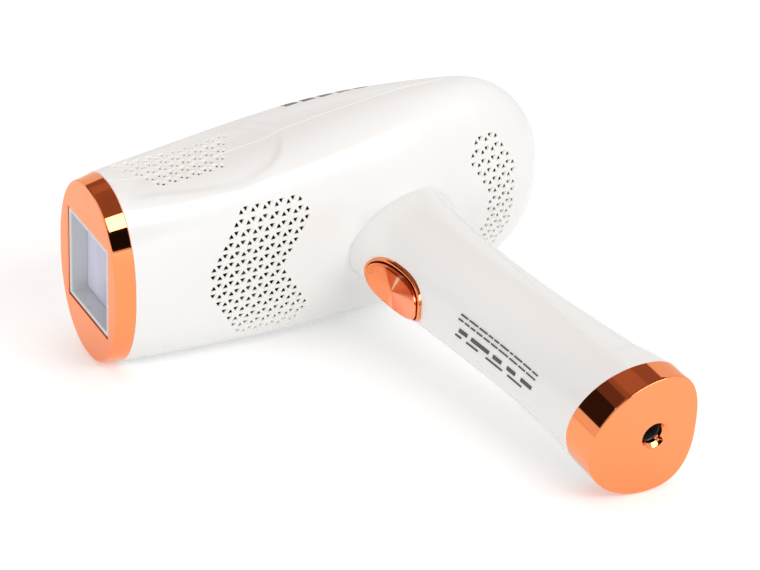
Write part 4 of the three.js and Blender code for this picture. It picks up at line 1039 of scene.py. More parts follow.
def display_outline(grow, steps=6):
    half_x, half_z, radius = DISPLAY_HALF[0] + grow, DISPLAY_HALF[1] + grow, DISPLAY_CORNER
    points = []
    for corner, (sx, sz) in enumerate(((1, 1), (-1, 1), (-1, -1), (1, -1))):
        for step in range(steps + 1):
            angle = math.pi / 2 * (corner + step / steps)
            points.append((DISPLAY_X + sx * (half_x - radius) + radius * math.cos(angle),
                           sz * (half_z - radius) + radius * math.sin(angle)))
    return points


def circle(radius, middle=0.0, count=64):
    return [(middle + radius * math.cos(a), radius * math.sin(a)) for a in turns(count)]


def top_cutter(name, outline):
    """A cutter down through the top of the head."""
    low, high = TOP_CUT
    return prisms(name, [outline], lambda u, v: (u, low, v), lambda u, v: (u, high, v))


def finish_casing(piece, surface, outside, inside):
    """Outer skin, cut walls and inner skin each get their finish: the cut walls a lighter copy with a painted
    glow, the inner skin a near-black painted shade.
    """
    shade_from(piece, [surface])
    dress(piece, outside, casing_wall_painted_glow(), inside)
    depth = {v.index: surface.tree.find_nearest(v.co)[3] for v in piece.data.vertices}
    for face in piece.data.polygons:
        least, most = min(depth[v] for v in face.vertices), max(depth[v] for v in face.vertices)
        face.material_index = 0 if most < ON_SKIN else 1 if least < ON_SKIN else 2


def from_ring(rows):
    """Starts a skin of the head right behind the nose ring."""
    first = rows[:1].copy()
    first[..., 0] = RING_DEPTH + 0.12
    return np.concatenate([first, rows])


def build_head(context):
    settings = context.scene.remover_head
    outside = head_rows(settings, 150, HEAD_POINTS, inset=SKIN)
    inside = head_rows(settings, 60, HEAD_POINTS, inset=CASING_WALL, shaped=False)
    inside[..., 2] *= FLANK_NARROWING
    outside = from_ring(outside)
    inside = from_ring(inside)
    surface = Surface(outside)
    whole = shell_body("head_casing", outside, inside)
    vents = underside_vents(settings)
    lower = twin(whole, "vented_lower_casing")
    carve(lower, block("lower_half", (-FAR, -FAR, -FAR), (FAR, HEAD_PARTING_Y - SLIT / 2, FAR)), "INTERSECT")
    carve(lower, vents)
    upper = twin(whole, "upper_casing")
    carve(upper, block("upper_half", (-FAR, HEAD_PARTING_Y + SLIT / 2, -FAR), (FAR, FAR, FAR)), "INTERSECT")
    for side in (1, -1):
        flank = flank_vents(settings, side)
        carve(lower, flank, keep=True)
        carve(upper, flank)
    display = twin(whole, "smoked_display_window")
    carve(display, top_cutter("display_cutter", display_outline(-0.1)), "INTERSECT")
    carve(upper, top_cutter("display_cutter", display_outline(0.05)))
    carve(upper, top_cutter("round_cutter", circle(POWER_KEY_RADIUS + POWER_KEY_SLIT, POWER_KEY_X)))
    discard(whole)
    finish = context.scene.remover_finish
    for piece in (lower, upper):
        finish_casing(piece, surface, pearl_casing(finish), casing_inside_painted_shade())
    finish_casing(display, surface, smoked_lens(), smoked_lens())
    stand_in(lower, "head_lower_shell")
    stand_in(upper, "head_upper_shell")
    stand_in(display, "display_window")


def smoked_lens():
    return moulded("Smoked lens", (0.012, 0.012, 0.015), (0.02, 0.02, 0.024), 0.08, drift=0.02, bump=0.01,
                   **{"Coat Weight": 1.0, "Coat Roughness": 0.03})


def build_power_key(context):
    angle = turns(KEY_POINTS)
    rings = []

    def ring(radius, offset=None):
        x = POWER_KEY_X + radius * np.cos(angle)
        z = radius * np.sin(angle)
        y = np.full(KEY_POINTS, POWER_STEM_Y) if offset is None else head_top_y(x, z) + offset
        rings.append(np.stack([x, y, z], axis=-1))

    ring(0.05)
    ring(POWER_STEM_RADIUS)
    ring(POWER_STEM_RADIUS, offset=-2.2)
    ring(POWER_KEY_RADIUS, offset=-2.2)
    ring(POWER_KEY_RADIUS, offset=-0.5)
    for along, inward in bevel_steps(0.45, 6):
        ring(POWER_KEY_RADIUS - inward, offset=0.1 - along)
    for share in (0.88, 0.8, 0.6, 0.4, 0.2, 0.02):
        ring(POWER_KEY_RADIUS * share, offset=0.1 - 0.45 * (1 - (share / 0.9) ** 2))
    key = closed_body("plated_power_key", rings)
    smooth(key)
    dress(key, rose_gold(context.scene.remover_finish))
    return stand_in(key, "power_button", "power_key")


# ---------------------------------------------------------------- handle

TRIGGER_SLOPE = (through(HANDLE_FRONTS, (6 - TRIGGER_Y) / HANDLE_LENGTH)
                 - through(HANDLE_FRONTS, (-6 - TRIGGER_Y) / HANDLE_LENGTH)) / 12
TRIGGER_FRONT = Vector((through(HANDLE_FRONTS, -TRIGGER_Y / HANDLE_LENGTH), TRIGGER_Y, 0))
TRIGGER_OUT = Vector((-1, -TRIGGER_SLOPE, 0)).normalized()
TRIGGER_DOWN = Vector((TRIGGER_SLOPE, -1, 0)).normalized()
TRIGGER_SIDE = TRIGGER_OUT.cross(TRIGGER_DOWN)


def trigger_drop(z):
    """How far the handle's front falls back beside the mirror plane."""
    return handle_front_x(TRIGGER_Y, z) - handle_front_x(TRIGGER_Y, 0)


def trigger_oval(grow):
    angle = turns(TRIGGER_POINTS)
    reach = oval_reach(angle, TRIGGER_HALF[0] + grow, TRIGGER_HALF[1] + grow, TRIGGER_SQUARENESS)
    return reach * np.cos(angle), reach * np.sin(angle)


def from_trigger(down, side, out):
    """Design points from distances down, across and out of the trigger."""
    return (np.array(TRIGGER_FRONT) + np.outer(np.broadcast_to(down, np.shape(side)), TRIGGER_DOWN)
            + np.outer(side, TRIGGER_SIDE) + np.outer(np.broadcast_to(out, np.shape(side)), TRIGGER_OUT))


def build_handle(context):
    settings = context.scene.remover_handle
    head = context.scene.remover_head
    outside = handle_rows(settings, 150, HANDLE_POINTS, inset=SKIN)
    inside = handle_rows(settings, 30, HANDLE_POINTS, inset=CASING_WALL, shaped=False)
    surface = Surface(outside)
    whole = tube_body("handle_casing", outside, inside)
    carve(whole, closed_body("head_plug", head_rows(head, 130, HEAD_POINTS, inset=SKIN - SLIT)))
    front = twin(whole, "front_grip_cover")
    front_half = block("front_half", (-FAR, -FAR, -FAR), (HANDLE_PARTING_X - SLIT / 2, FAR, FAR))
    carve(front, front_half, "INTERSECT")
    down, side = trigger_oval(TRIGGER_GAP + TRIGGER_RING_WIDTH + 0.06)
    opening = prisms("trigger_cutter", [list(zip(down, side))],
                     lambda u, v: from_trigger(u, np.array([v]), -9)[0],
                     lambda u, v: from_trigger(u, np.array([v]), 6)[0])
    carve(front, opening)
    back = twin(whole, "back_grip_cover")
    carve(back, block("back_half", (HANDLE_PARTING_X + SLIT / 2, -FAR, -FAR), (FAR, FAR, FAR)), "INTERSECT")
    for y in SCREW_YS:
        well = prisms("screw_cutter", [circle(SCREW_WELL_RADIUS, y, 48)],
                      lambda u, v: (HANDLE_PARTING_X - 3, u, v),
                      lambda u, v: (HANDLE_PARTING_X + 30, u, v))
        carve(back, well)
    discard(whole)
    finish = context.scene.remover_finish
    for piece in (front, back):
        finish_casing(piece, surface, pearl_casing(finish), casing_inside_painted_shade())
    stand_in(front, "handle_front_shell")
    stand_in(back, "handle_back_shell")


def build_trigger(context):
    finish = context.scene.remover_finish
    proud = TRIGGER_PROUD
    local = []

    def ring(grow, out, follow=TRIGGER_CURVE):
        down, side = trigger_oval(grow)
        local.append(np.stack([down, side, out - follow * trigger_drop(side)], axis=-1))

    ring(0, -7.0, 0)
    ring(0, -3.0)
    ring(0, proud - 0.75)
    for along, inward in bevel_steps(0.45, 6):
        ring(-inward, proud - along)
    ring(-0.7, proud)
    ring(-0.95, proud - 0.03)
    for share in (0.86, 0.7, 0.5, 0.3, 0.12, 0.01):
        depth = TRIGGER_DISH * (1 - (share / 0.88) ** 2)
        down, side = (share * each for each in trigger_oval(0))
        out = proud - TRIGGER_CURVE * trigger_drop(side) - 0.03 - depth
        local.append(np.stack([down, side, out], axis=-1))
    button = closed_body("spun_trigger", [from_trigger(r[:, 0], r[:, 1], r[:, 2]) for r in local])
    turn = Matrix((TRIGGER_DOWN, TRIGGER_SIDE, TRIGGER_OUT)).transposed().to_4x4()
    spot = PLACE @ Matrix.Translation(TRIGGER_FRONT * MM) @ turn
    button.data.transform(spot.inverted())
    button.matrix_world = spot
    smooth(button, 24)
    dress(button, spun_rose_gold_painted_reflections(finish))
    stand_in(button, "trigger_button", "trigger")

    inner, outer = TRIGGER_GAP, TRIGGER_GAP + TRIGGER_RING_WIDTH
    proud = TRIGGER_RING_PROUD
    profile = ((outer, -1.2), (outer, proud - 0.2), (outer - 0.06, proud - 0.08), (outer - 0.2, proud - 0.02),
               (outer - 0.35, proud), (inner + 0.35, proud), (inner + 0.2, proud - 0.02),
               (inner + 0.06, proud - 0.08), (inner, proud - 0.2), (inner, -1.2))
    rings = []
    for grow, out in profile:
        down, side = trigger_oval(grow)
        rings.append(from_trigger(down, side, out - trigger_drop(side)))
    ring_piece = ring_body("plated_trigger_ring", rings)
    smooth(ring_piece)
    dress(ring_piece, rose_gold(finish))
    stand_in(ring_piece, "trigger_ring")


# ---------------------------------------------------------------- cap and socket

def cap_outline(less):
    front, back, widest, half_width = handle_edge(1.0, SKIN - 0.1 + less)
    angle = turns(NOSE_POINTS)
    reach = handle_reach(angle, front, back, widest, half_width)
    return widest + reach * np.cos(angle), reach * np.sin(angle)


def build_end_cap(context):
    around = NOSE_POINTS
    angle = turns(around)
    rings = []

    def band(less, rise, tilted):
        x, z = cap_outline(less)
        y = cap_joint_y(x) - SLIT / 2 + rise if tilted else np.full(around, CAP_FACE_Y + rise)
        rings.append(np.stack([x, y, z], axis=-1))

    def hole(radius, rise):
        rings.append(np.stack([SOCKET_X + radius * np.cos(angle), np.full(around, CAP_FACE_Y + rise),
                               radius * np.sin(angle)], axis=-1))

    band(0.12, 0, True)
    band(0, -0.12, True)
    band(0, -0.5, True)
    band(0, 1.2, False)
    for along, inward in bevel_steps(CAP_BEVEL, 7):
        band(inward, along, False)
    band(CAP_BEVEL + 0.25, 0, False)
    mouth = SOCKET_RADIUS + SOCKET_CHAMFER
    for radius, rise in ((mouth + 0.5, 0), (mouth + 0.15, 0), (mouth, 0.04), (mouth - 0.12, 0.14),
                         (SOCKET_RADIUS + 0.12, SOCKET_CHAMFER - 0.14), (SOCKET_RADIUS, SOCKET_CHAMFER),
                         (SOCKET_RADIUS, SOCKET_CHAMFER + 0.3), (SOCKET_RADIUS, 2.4)):
        hole(radius, rise)
    band(WALL, 2.4, False)
    band(WALL, 0, True)
    cap = ring_body("plated_end_cap", rings)
    smooth(cap, 36)
    dress(cap, rose_gold(context.scene.remover_finish))
    return stand_in(cap, "end_cap")


def lathe(name, profile, around=64, centre=(SOCKET_X, 0.0), along="y"):
    """A solid of revolution through pairs (radius, height); its ends close on the axis."""
    angle = turns(around)
    rings = []
    for radius, height in profile:
        u, v = radius * np.cos(angle), radius * np.sin(angle)
        level = np.full(around, float(height))
        if along == "y":
            rings.append(np.stack([centre[0] + u, level, centre[1] + v], axis=-1))
        else:
            rings.append(np.stack([level, centre[0] + u, centre[1] + v], axis=-1))
    return closed_body(name, rings)


def black_moulding():
    return moulded("Black moulding", (0.02, 0.02, 0.022), (0.03, 0.03, 0.032), 0.4, grain=0.6, bump=0.15)


def bright_steel():
    return metal("Bright steel", (0.75, 0.76, 0.78), (0.66, 0.67, 0.69), 0.22, bump=0.03)


def build_socket():
    base = CAP_FACE_Y + 2.7
    bore = SOCKET_RADIUS
    top = base + 11
    body = lathe("socket_moulding", (
        (0.05, top - 2), (bore - 0.2, top - 2), (bore, top - 2.2), (bore, base + 0.3), (bore + 0.25, base),
        (4.3, base), (4.5, base + 0.2), (4.5, top - 0.2), (4.3, top), (0.05, top)))
    smooth(body)
    dress(body, black_moulding())
    stand_in(body, "socket_body")
    tip = base + 1.2
    pin = lathe("socket_centre_pin", ((0.02, tip), (0.5, tip + 0.08), (0.85, tip + 0.35), (1.0, tip + 0.8),
                                      (1.0, top - 2.3), (0.02, top - 2.3)), around=40)
    smooth(pin)
    dress(pin, bright_steel())
    stand_in(pin, "socket_pin")


# ---------------------------------------------------------------- screws

def build_screw(name, node, at_uv, seat, length, along):
    """A pan-head screw with a cross recess. seat is under its head, which points along the named axis."""
    def level(distance):
        return seat + distance

    wide = SCREW_RADIUS
    profile = [(0.02, level(-length)), (0.7, level(-length + 0.9)), (wide, level(-length + 1.8))]
    spot = -length + 2.0
    while spot < -1.4:
        profile += [(wide, level(spot)), (wide - THREAD_DEPTH, level(spot + THREAD_PITCH / 2))]
        spot += THREAD_PITCH
    profile += [(wide, level(-0.9)), (wide, level(-0.02)), (SCREW_HEAD_RADIUS, level(0)),
                (SCREW_HEAD_RADIUS, level(0.75)), (2.42, level(1.15)), (2.1, level(1.5)), (1.5, level(1.72)),
                (0.8, level(1.8)), (0.02, level(1.8))]
    screw = lathe(name, profile, around=40, centre=at_uv, along=along)
    u, v = at_uv
    for wide_u, wide_v in (RECESS_HALF, RECESS_HALF[::-1]):
        low, high = sorted((level(0.75), level(3)))
        if along == "x":
            slot = block("recess", (low, u - wide_u, v - wide_v), (high, u + wide_u, v + wide_v))
        else:
            slot = block("recess", (u - wide_u, low, v - wide_v), (u + wide_u, high, v + wide_v))
        carve(screw, slot)
    smooth(screw, 40)
    dress(screw, bright_steel())
    return stand_in(screw, node)


def build_screws():
    for number, y in enumerate(SCREW_YS, 1):
        build_screw(f"cover_screw_{number}", f"handle_screw_{number}", (y, 0.0), SCREW_SEAT_X,
                    SCREW_LENGTH, "x")
    for number, spot in enumerate(BOARD_SCREW_SPOTS, 1):
        build_screw(f"circuit_screw_{number}", f"board_screw_{number}", spot, BOARD_SCREW_SEAT_Y,
                    BOARD_SCREW_LENGTH, "y")


# ---------------------------------------------------------------- printed marks

def printed_patch(corner_points, thickness):
    """Points and faces of a thin raised patch: a grid of surface points and the way it faces."""
    grid, normal = corner_points
    rows, columns, _ = grid.shape
    top = (grid + normal * thickness).reshape(-1, 3)
    under = (grid - normal * 0.3).reshape(-1, 3)
    count = rows * columns
    faces = []
    for r in range(rows - 1):
        for c in range(columns - 1):
            a = r * columns + c
            faces.append((a, a + 1, a + columns + 1, a + columns))
            faces.append((count + a, count + a + columns, count + a + columns + 1, count + a + 1))
    rim = ([r * columns for r in range(rows)] + [(rows - 1) * columns + c for c in range(1, columns)]
           + [r * columns + columns - 1 for r in range(rows - 2, -1, -1)]
           + list(range(columns - 2, 0, -1)))
    for a, b in zip(rim, rim[1:] + rim[:1]):
        faces.append((a, b, count + b, count + a))
    return np.concatenate([top, under]), faces


def slopes(height, u, v, step=0.01):
    """How steeply a surface rises along its first and its second direction."""
    return ((height(u + step, v) - height(u - step, v)) / (2 * step),
            (height(u, v + step) - height(u, v - step)) / (2 * step))


def grip_x(y, z):
    return handle_front_x(y, z, SKIN)


def grip_patch(y_from, y_to, z_from, z_to):
    """Surface points and normals of the handle's front between two heights and two sides."""
    y, z = np.meshgrid(np.linspace(y_from, y_to, 3), np.linspace(z_from, z_to, 3), indexing="ij")
    x = grip_x(y, z)
    by_y, by_z = slopes(grip_x, y, z)
    normal = np.stack([-np.ones_like(x), by_y, by_z], axis=-1)
    normal /= np.linalg.norm(normal, axis=-1, keepdims=True)
    return np.stack([x, y, z], axis=-1), normal


def flank_patch(x_from, x_to, y_from, y_to):
    """Surface points and normals of the head's flank between two places along it."""
    x, y = np.meshgrid(np.linspace(x_from, x_to, 3), np.linspace(y_from, y_to, 4), indexing="ij")
    z = head_flank_z(x, y)
    by_x, by_y = slopes(head_flank_z, x, y)
    normal = np.stack([-by_x, -by_y, np.ones_like(x)], axis=-1)
    normal /= np.linalg.norm(normal, axis=-1, keepdims=True)
    return np.stack([x, y, z], axis=-1), normal


def printed_piece(name, patches, thickness, material):
    points, faces = [], []
    for patch in patches:
        more, some = printed_patch(patch, thickness)
        base = len(points)
        points += more.tolist()
        faces += [tuple(base + i for i in face) for face in some]
    piece = face_out(new_piece(name, np.array(points), faces))
    smooth(piece)
    dress(piece, material)
    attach(piece, "hand_piece")
    return piece


def build_prints(context):
    """Plain bars where such a device carries its marks: they stand for no letters."""
    thickness = context.scene.remover_handle.print_strength
    ink = moulded("Grey ink", (0.055, 0.055, 0.06), (0.075, 0.075, 0.08), 0.5, bump=0.05)
    patches = []
    spread = np.random.default_rng(7)
    for z in (7.4, 6.1):
        y = -54.0
        while y > -88:
            length = float(spread.uniform(1.2, 4.2))
            patches.append(grip_patch(y, max(y - length, -90), z - 0.2, z + 0.2))
            y -= length + 0.7
    for y, length in ((-56, 3.6), (-61.5, 8.0), (-71.5, 3.8), (-78, 3.8), (-84.5, 5.0)):
        patches.append(grip_patch(y, y - length, 2.9, 4.0))
    for y, length in ((-55, 2.6), (-60, 5.2), (-69, 7.4), (-79, 6.5)):
        patches.append(grip_patch(y, y - length, 1.3, 1.75))
    printed_piece("grip_print", patches, thickness, ink)
    bronze = metal("Bronze ink", (0.17, 0.12, 0.085), (0.13, 0.09, 0.065), 0.35, bump=0.02)
    bars = []
    for number in range(5):
        x = 72.5 + 5.8 * number
        y = 33.4 - 0.75 * number
        bars.append(flank_patch(x, x + 4.2, y, y + 3.6))
    printed_piece("flank_print", bars, thickness, bronze)


# ---------------------------------------------------------------- inner works

def build_filter_glass():
    rings = []
    around = GLASS_POINTS
    glass_y, glass_z = GLASS_HALF
    for along, inward in reversed(bevel_steps(0.4, 5)):
        rings.append(rounded_rectangle(glass_y - inward, glass_z - inward, 0.6, around, GLASS_X[0] + along))
    for along, inward in bevel_steps(0.4, 5):
        rings.append(rounded_rectangle(glass_y - inward, glass_z - inward, 0.6, around, GLASS_X[1] - along))
    glass = closed_body("lamp_filter", rings)
    smooth(glass)
    dress(glass, filter_finish())
    return stand_in(glass, "filter_glass")


def filter_finish():
    """Frosted filter, darker towards one edge and lilac towards the other, with a faint painted glow from its
    emission.
    """
    material, tree, shader = start_finish("Filter glass")
    if tree is None:
        return material
    effect = add_node(tree, "ShaderNodeGroup", node_tree=handled_group())
    put_values(effect, {"Tint A": (0.68, 0.69, 0.82, 1), "Tint B": (0.66, 0.66, 0.8, 1), "Roughness": 0.12,
                        "Smear": 0.05, "Scratch size": 200.0})
    place = add_node(tree, "ShaderNodeTexCoord")
    parts = add_node(tree, "ShaderNodeSeparateXYZ")
    across = add_node(tree, "ShaderNodeMapRange")
    far, near = (placed((GLASS_X[0], NOSE_Y + side * GLASS_HALF[0], 0.0))[1] for side in (-1, 1))
    put_values(across, {"From Min": far + 0.001, "From Max": near - 0.006})
    mix = add_node(tree, "ShaderNodeMix", data_type="RGBA")
    mix.inputs["A"].default_value = (0.3, 0.26, 0.36, 1)
    wire(tree, place, "Object", parts, "Vector")
    wire(tree, parts, "Y", across, "Value")
    wire(tree, across, "Result", mix, "Factor")
    wire(tree, effect, "Color", mix, "B")
    tree.links.new(mix.outputs["Result"], shader.inputs["Base Color"])
    tree.links.new(mix.outputs["Result"], shader.inputs["Emission Color"])
    wire(tree, effect, "Roughness", shader, "Roughness")
    add_bump(tree, shader, effect.outputs["Height"], 0.01, 0.0001)
    # The emission is a painted glow: the filter gives off light of its own colour though the lamp behind it
    # is dark.
    put_values(shader, {"Transmission Weight": 0.15, "IOR": 1.46, "Emission Strength": 0.06})
    return material


def finish_frame_nodes(names, material):
    for name in names:
        dress(frame["nodes"][name], material)


def finish_inner_works():
    aluminium = metal("Black anodised aluminium", (0.03, 0.03, 0.032), (0.022, 0.022, 0.024), 0.45,
                      smear=0.1, bump=0.15)
    mirror = metal("Mirror aluminium", (0.93, 0.93, 0.95), (0.88, 0.88, 0.9), 0.08, bump=0.01)
    ceramic = moulded("White ceramic", (0.86, 0.85, 0.82), (0.8, 0.79, 0.76), 0.5, grain=0.4, bump=0.1)
    red = moulded("Red sheath", (0.55, 0.02, 0.02), (0.45, 0.015, 0.015), 0.4, bump=0.05)
    chip = moulded("Chip resin", (0.018, 0.018, 0.02), (0.03, 0.03, 0.032), 0.5, grain=0.8, bump=0.2)
    sleeve = moulded("Capacitor sleeve", (0.03, 0.035, 0.06), (0.04, 0.045, 0.075), 0.3, bump=0.05)
    liner = moulded("Cartridge liner", (0.62, 0.6, 0.68), (0.56, 0.54, 0.62), 0.45, grain=0.4, bump=0.1)
    finish_frame_nodes(("heat_sink",), aluminium)
    finish_frame_nodes(("reflector",), mirror)
    finish_frame_nodes(("lamp_holder_upper", "lamp_holder_lower"), ceramic)
    finish_frame_nodes(("flash_lamp",), clear_glass("Lamp glass", (0.96, 0.97, 1.0), 0.04))
    finish_frame_nodes(("lamp_cartridge",), liner)
    finish_frame_nodes(("fan_frame", "fan_rotor", "power_switch_body", "trigger_switch_body", "trigger_coil"),
                       black_moulding())
    finish_frame_nodes(("fan_shaft", "socket_nut", "trigger_spring", "transformer_core"), bright_steel())
    finish_frame_nodes(("power_switch_plunger", "trigger_switch_plunger"), red)
    finish_frame_nodes(("display_board", "power_board", "trigger_board", "control_board"), circuit_board())
    finish_frame_nodes(("control_chip",), chip)
    finish_frame_nodes(("flash_capacitor",), sleeve)
    finish_frame_nodes(("transformer_winding",), wound_copper())
    finish_frame_nodes(("supply_lead", "return_lead"), red)


# ---------------------------------------------------------------- stage

CAMERA_SPOT = (-301.0142, -623.8634, 496.1554)
CAMERA_RIGHT = (0.8644, -0.5004, 0.0495)
CAMERA_DOWN = (-0.2521, -0.5164, -0.8184)
FLOOR_SIZE = 60.0
FLOOR_GLOW = 0.3
ROOM_LIGHT = 0.9
OVERHEAD_POWER = 5.8
FILL_POWER = 6.0

# Each patch of the surroundings: azimuth, elevation, half angle and soft edge in degrees, and colour.
SURROUNDINGS = (
    (100, 77, 36, 1.5, (0.31, 0.17, 0.13)),
    (272, 69, 25, 1.5, (0.29, 0.16, 0.12)),
    (95, 62, 9, 4, (0.42, 0.24, 0.18)),
    (126, 43, 9, 2, (0.14, 0.08, 0.06)),
    (141, 27, 14, 2, (0.03, 0.02, 0.02)),
    (224, 10, 12, 3, (0.03, 0.03, 0.03)),
    (259, 8, 19, 1, (0.012, 0.01, 0.01)),
)


def build_camera(settings):
    camera = bpy.data.objects.new("view", bpy.data.cameras.new("view"))
    bpy.context.scene.collection.objects.link(camera)
    right = Vector(CAMERA_RIGHT).normalized()
    up = -Vector(CAMERA_DOWN)
    up = (up - up.dot(right) * right).normalized()
    turn = Matrix((right, up, right.cross(up))).transposed().to_4x4()
    camera.matrix_world = PLACE @ Matrix.Translation(Vector(CAMERA_SPOT) * MM) @ turn
    camera.data.sensor_width = 36
    camera.data.lens = settings.focal_length
    camera.data.clip_start = 0.05
    camera.data.clip_end = 100
    bpy.context.scene.camera = camera


def build_floor(settings):
    half = FLOOR_SIZE / 2
    mesh = bpy.data.meshes.new("floor")
    corners = [(-half, -half, 0), (half, -half, 0), (half, half, 0), (-half, half, 0)]
    mesh.from_pydata(corners, [], [(0, 1, 2, 3)])
    floor = bpy.data.objects.new("floor", mesh)
    bpy.context.scene.collection.objects.link(floor)
    floor.location.z = -0.0002
    paper = (settings.floor_shade,) * 3
    dress(floor, moulded("Lit paper floor", paper, shaded(paper, 0.995), 0.9, grain_size=900.0, bump=0.0,
                         **{"Specular IOR Level": 0.0, "Emission Strength": FLOOR_GLOW,
                            "Emission Color": (1, 1, 1, 1)}))


def soft_light(name, toward, distance, size, power, mirrored=True):
    """A large soft light that faces the middle of the object. Not mirrored, it lights without glints."""
    light = bpy.data.lights.new(name, "AREA")
    light.shape = "RECTANGLE"
    light.size, light.size_y = size
    light.energy = power
    lamp = bpy.data.objects.new(name, light)
    bpy.context.scene.collection.objects.link(lamp)
    away = toward.normalized()
    lamp.location = Vector((0, 0, 0.04)) + away * distance
    lamp.rotation_euler = (-away).to_track_quat("-Z", "Y").to_euler()
    lamp.visible_glossy = mirrored


def direction(azimuth, elevation):
    level = math.cos(math.radians(elevation))
    return Vector((level * math.cos(math.radians(azimuth)), level * math.sin(math.radians(azimuth)),
                   math.sin(math.radians(elevation))))


def build_surroundings():
    """A pale room with a few cards in it for the plating to mirror."""
    world = bpy.data.worlds.new("Studio")
    bpy.context.scene.world = world
    world.use_nodes = True
    tree = world.node_tree
    ground = tree.nodes["Background"]
    place = add_node(tree, "ShaderNodeTexCoord")
    last = add_node(tree, "ShaderNodeMix", data_type="RGBA")
    put_values(last, {"Factor": 0.0, "A": (1, 1, 1, 1), "B": (1, 1, 1, 1)})
    for azimuth, elevation, half_angle, edge, colour in SURROUNDINGS:
        facing = add_node(tree, "ShaderNodeVectorMath", operation="DOT_PRODUCT")
        facing.inputs[1].default_value = direction(azimuth, elevation)
        wire(tree, place, "Generated", facing, 0)
        mask = add_node(tree, "ShaderNodeMapRange", interpolation_type="SMOOTHSTEP")
        put_values(mask, {"From Min": math.cos(math.radians(half_angle + edge)),
                          "From Max": math.cos(math.radians(half_angle))})
        wire(tree, facing, "Value", mask, "Value")
        mix = add_node(tree, "ShaderNodeMix", data_type="RGBA")
        wire(tree, mask, "Result", mix, "Factor")
        tree.links.new(last.outputs["Result"], mix.inputs["A"])
        mix.inputs["B"].default_value = (*colour, 1)
        last = mix
    tree.links.new(last.outputs["Result"], ground.inputs["Color"])
    ground.inputs["Strength"].default_value = ROOM_LIGHT


def build_stage(context):
    settings = context.scene.remover_stage
    build_camera(settings)
    build_floor(settings)
    build_surroundings()
    soft_light("key", direction(284, 39), 1.3, (0.95, 0.56), settings.key_power)
    soft_light("overhead", direction(100, 80), 1.3, (1.3, 1.3), OVERHEAD_POWER, mirrored=False)
    soft_light("fill", direction(222, 17), 1.5, (1.0, 0.8), FILL_POWER, mirrored=False)
    context.scene.view_settings.view_transform = "Standard"


# ---------------------------------------------------------------- operators

class REMOVER_OT_nose(bpy.types.Operator):
    """Build the plated nose ring with its chamfered window."""
    bl_idname = "remover.nose"
    bl_label = "Nose ring"

    def execute(self, context):
        build_nose_ring(context)
        return {"FINISHED"}


class REMOVER_OT_window(bpy.types.Operator):
    """Build the window's liner and the lamp filter behind it."""
    bl_idname = "remover.window"
    bl_label = "Window liner and filter"

    def execute(self, context):
        build_window_frame()
        build_filter_glass()
        return {"FINISHED"}


class REMOVER_OT_head(bpy.types.Operator):
    """Build the two head casings with their vents, and the display window."""
    bl_idname = "remover.head"
    bl_label = "Head casings"

    def execute(self, context):
        build_head(context)
        return {"FINISHED"}


class REMOVER_OT_power_key(bpy.types.Operator):
    """Build the plated power key."""
    bl_idname = "remover.power_key"
    bl_label = "Power key"

    def execute(self, context):
        build_power_key(context)
        return {"FINISHED"}


class REMOVER_OT_handle(bpy.types.Operator):
    """Build the handle's front and back covers."""
    bl_idname = "remover.handle"
    bl_label = "Handle covers"

    def execute(self, context):
        build_handle(context)
        return {"FINISHED"}


class REMOVER_OT_trigger(bpy.types.Operator):
    """Build the spun trigger and the plated ring round it."""
    bl_idname = "remover.trigger"
    bl_label = "Trigger and ring"

    def execute(self, context):
        build_trigger(context)
        return {"FINISHED"}


class REMOVER_OT_end_cap(bpy.types.Operator):
    """Build the plated end cap."""
    bl_idname = "remover.end_cap"
    bl_label = "End cap"

    def execute(self, context):
        build_end_cap(context)
        return {"FINISHED"}


class REMOVER_OT_socket(bpy.types.Operator):
    """Build the power socket and its centre pin."""
    bl_idname = "remover.socket"
    bl_label = "Power socket"

    def execute(self, context):
        build_socket()
        return {"FINISHED"}


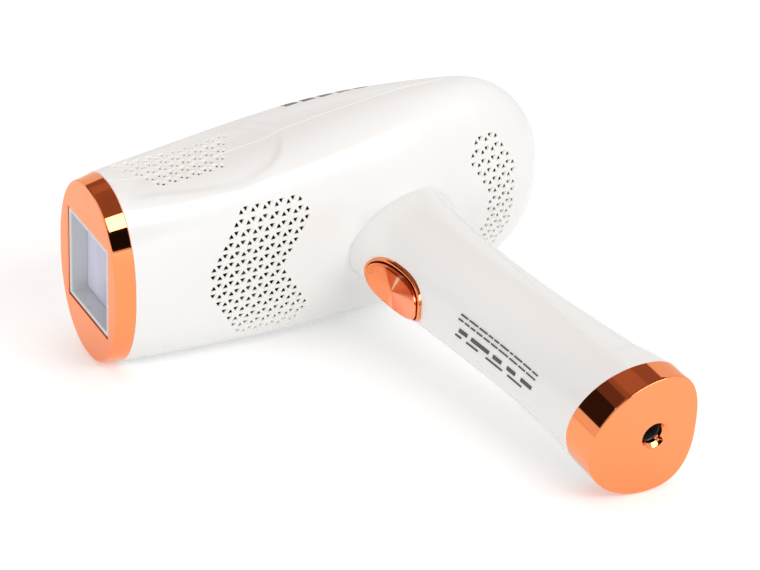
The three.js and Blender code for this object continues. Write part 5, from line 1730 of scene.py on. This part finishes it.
class REMOVER_OT_screws(bpy.types.Operator):
    """Build the screws of the handle and of the power board."""
    bl_idname = "remover.screws"
    bl_label = "Screws"

    def execute(self, context):
        build_screws()
        return {"FINISHED"}


class REMOVER_OT_prints(bpy.types.Operator):
    """Lay the printed bars on the handle and the head."""
    bl_idname = "remover.prints"
    bl_label = "Printed bars"

    def execute(self, context):
        build_prints(context)
        return {"FINISHED"}


class REMOVER_OT_inner_works(bpy.types.Operator):
    """Give the pieces inside the casings their finishes."""
    bl_idname = "remover.inner_works"
    bl_label = "Inner works"

    def execute(self, context):
        finish_inner_works()
        return {"FINISHED"}


class REMOVER_OT_stage(bpy.types.Operator):
    """Set the floor, the light and the camera."""
    bl_idname = "remover.stage"
    bl_label = "Stage"

    def execute(self, context):
        build_stage(context)
        return {"FINISHED"}


OPERATORS = (REMOVER_OT_nose, REMOVER_OT_window, REMOVER_OT_head, REMOVER_OT_power_key, REMOVER_OT_handle,
             REMOVER_OT_trigger, REMOVER_OT_end_cap, REMOVER_OT_socket, REMOVER_OT_screws, REMOVER_OT_prints,
             REMOVER_OT_inner_works, REMOVER_OT_stage)


class REMOVER_PT_panel(bpy.types.Panel):
    """Lists the sizes and the building steps."""
    bl_idname = "REMOVER_PT_panel"
    bl_label = "Hair remover"
    bl_space_type = "VIEW_3D"
    bl_region_type = "UI"
    bl_category = "Hair Remover"

    def draw(self, context):
        for name, settings in SETTINGS:
            box = self.layout.box()
            for field in settings.__annotations__:
                box.prop(getattr(context.scene, name), field)
        column = self.layout.column()
        for operator in OPERATORS:
            column.operator(operator.bl_idname)


def register():
    for name, settings in SETTINGS:
        bpy.utils.register_class(settings)
        setattr(bpy.types.Scene, name, PointerProperty(type=settings))
    for each in (*OPERATORS, REMOVER_PT_panel):
        bpy.utils.register_class(each)


def unregister():
    for each in reversed((*OPERATORS, REMOVER_PT_panel)):
        bpy.utils.unregister_class(each)
    for name, settings in reversed(SETTINGS):
        delattr(bpy.types.Scene, name)
        bpy.utils.unregister_class(settings)


def main():
    register()
    for operator in OPERATORS:
        group, step = operator.bl_idname.split(".")
        getattr(getattr(bpy.ops, group), step)()


if __name__ == "__main__":
    main()
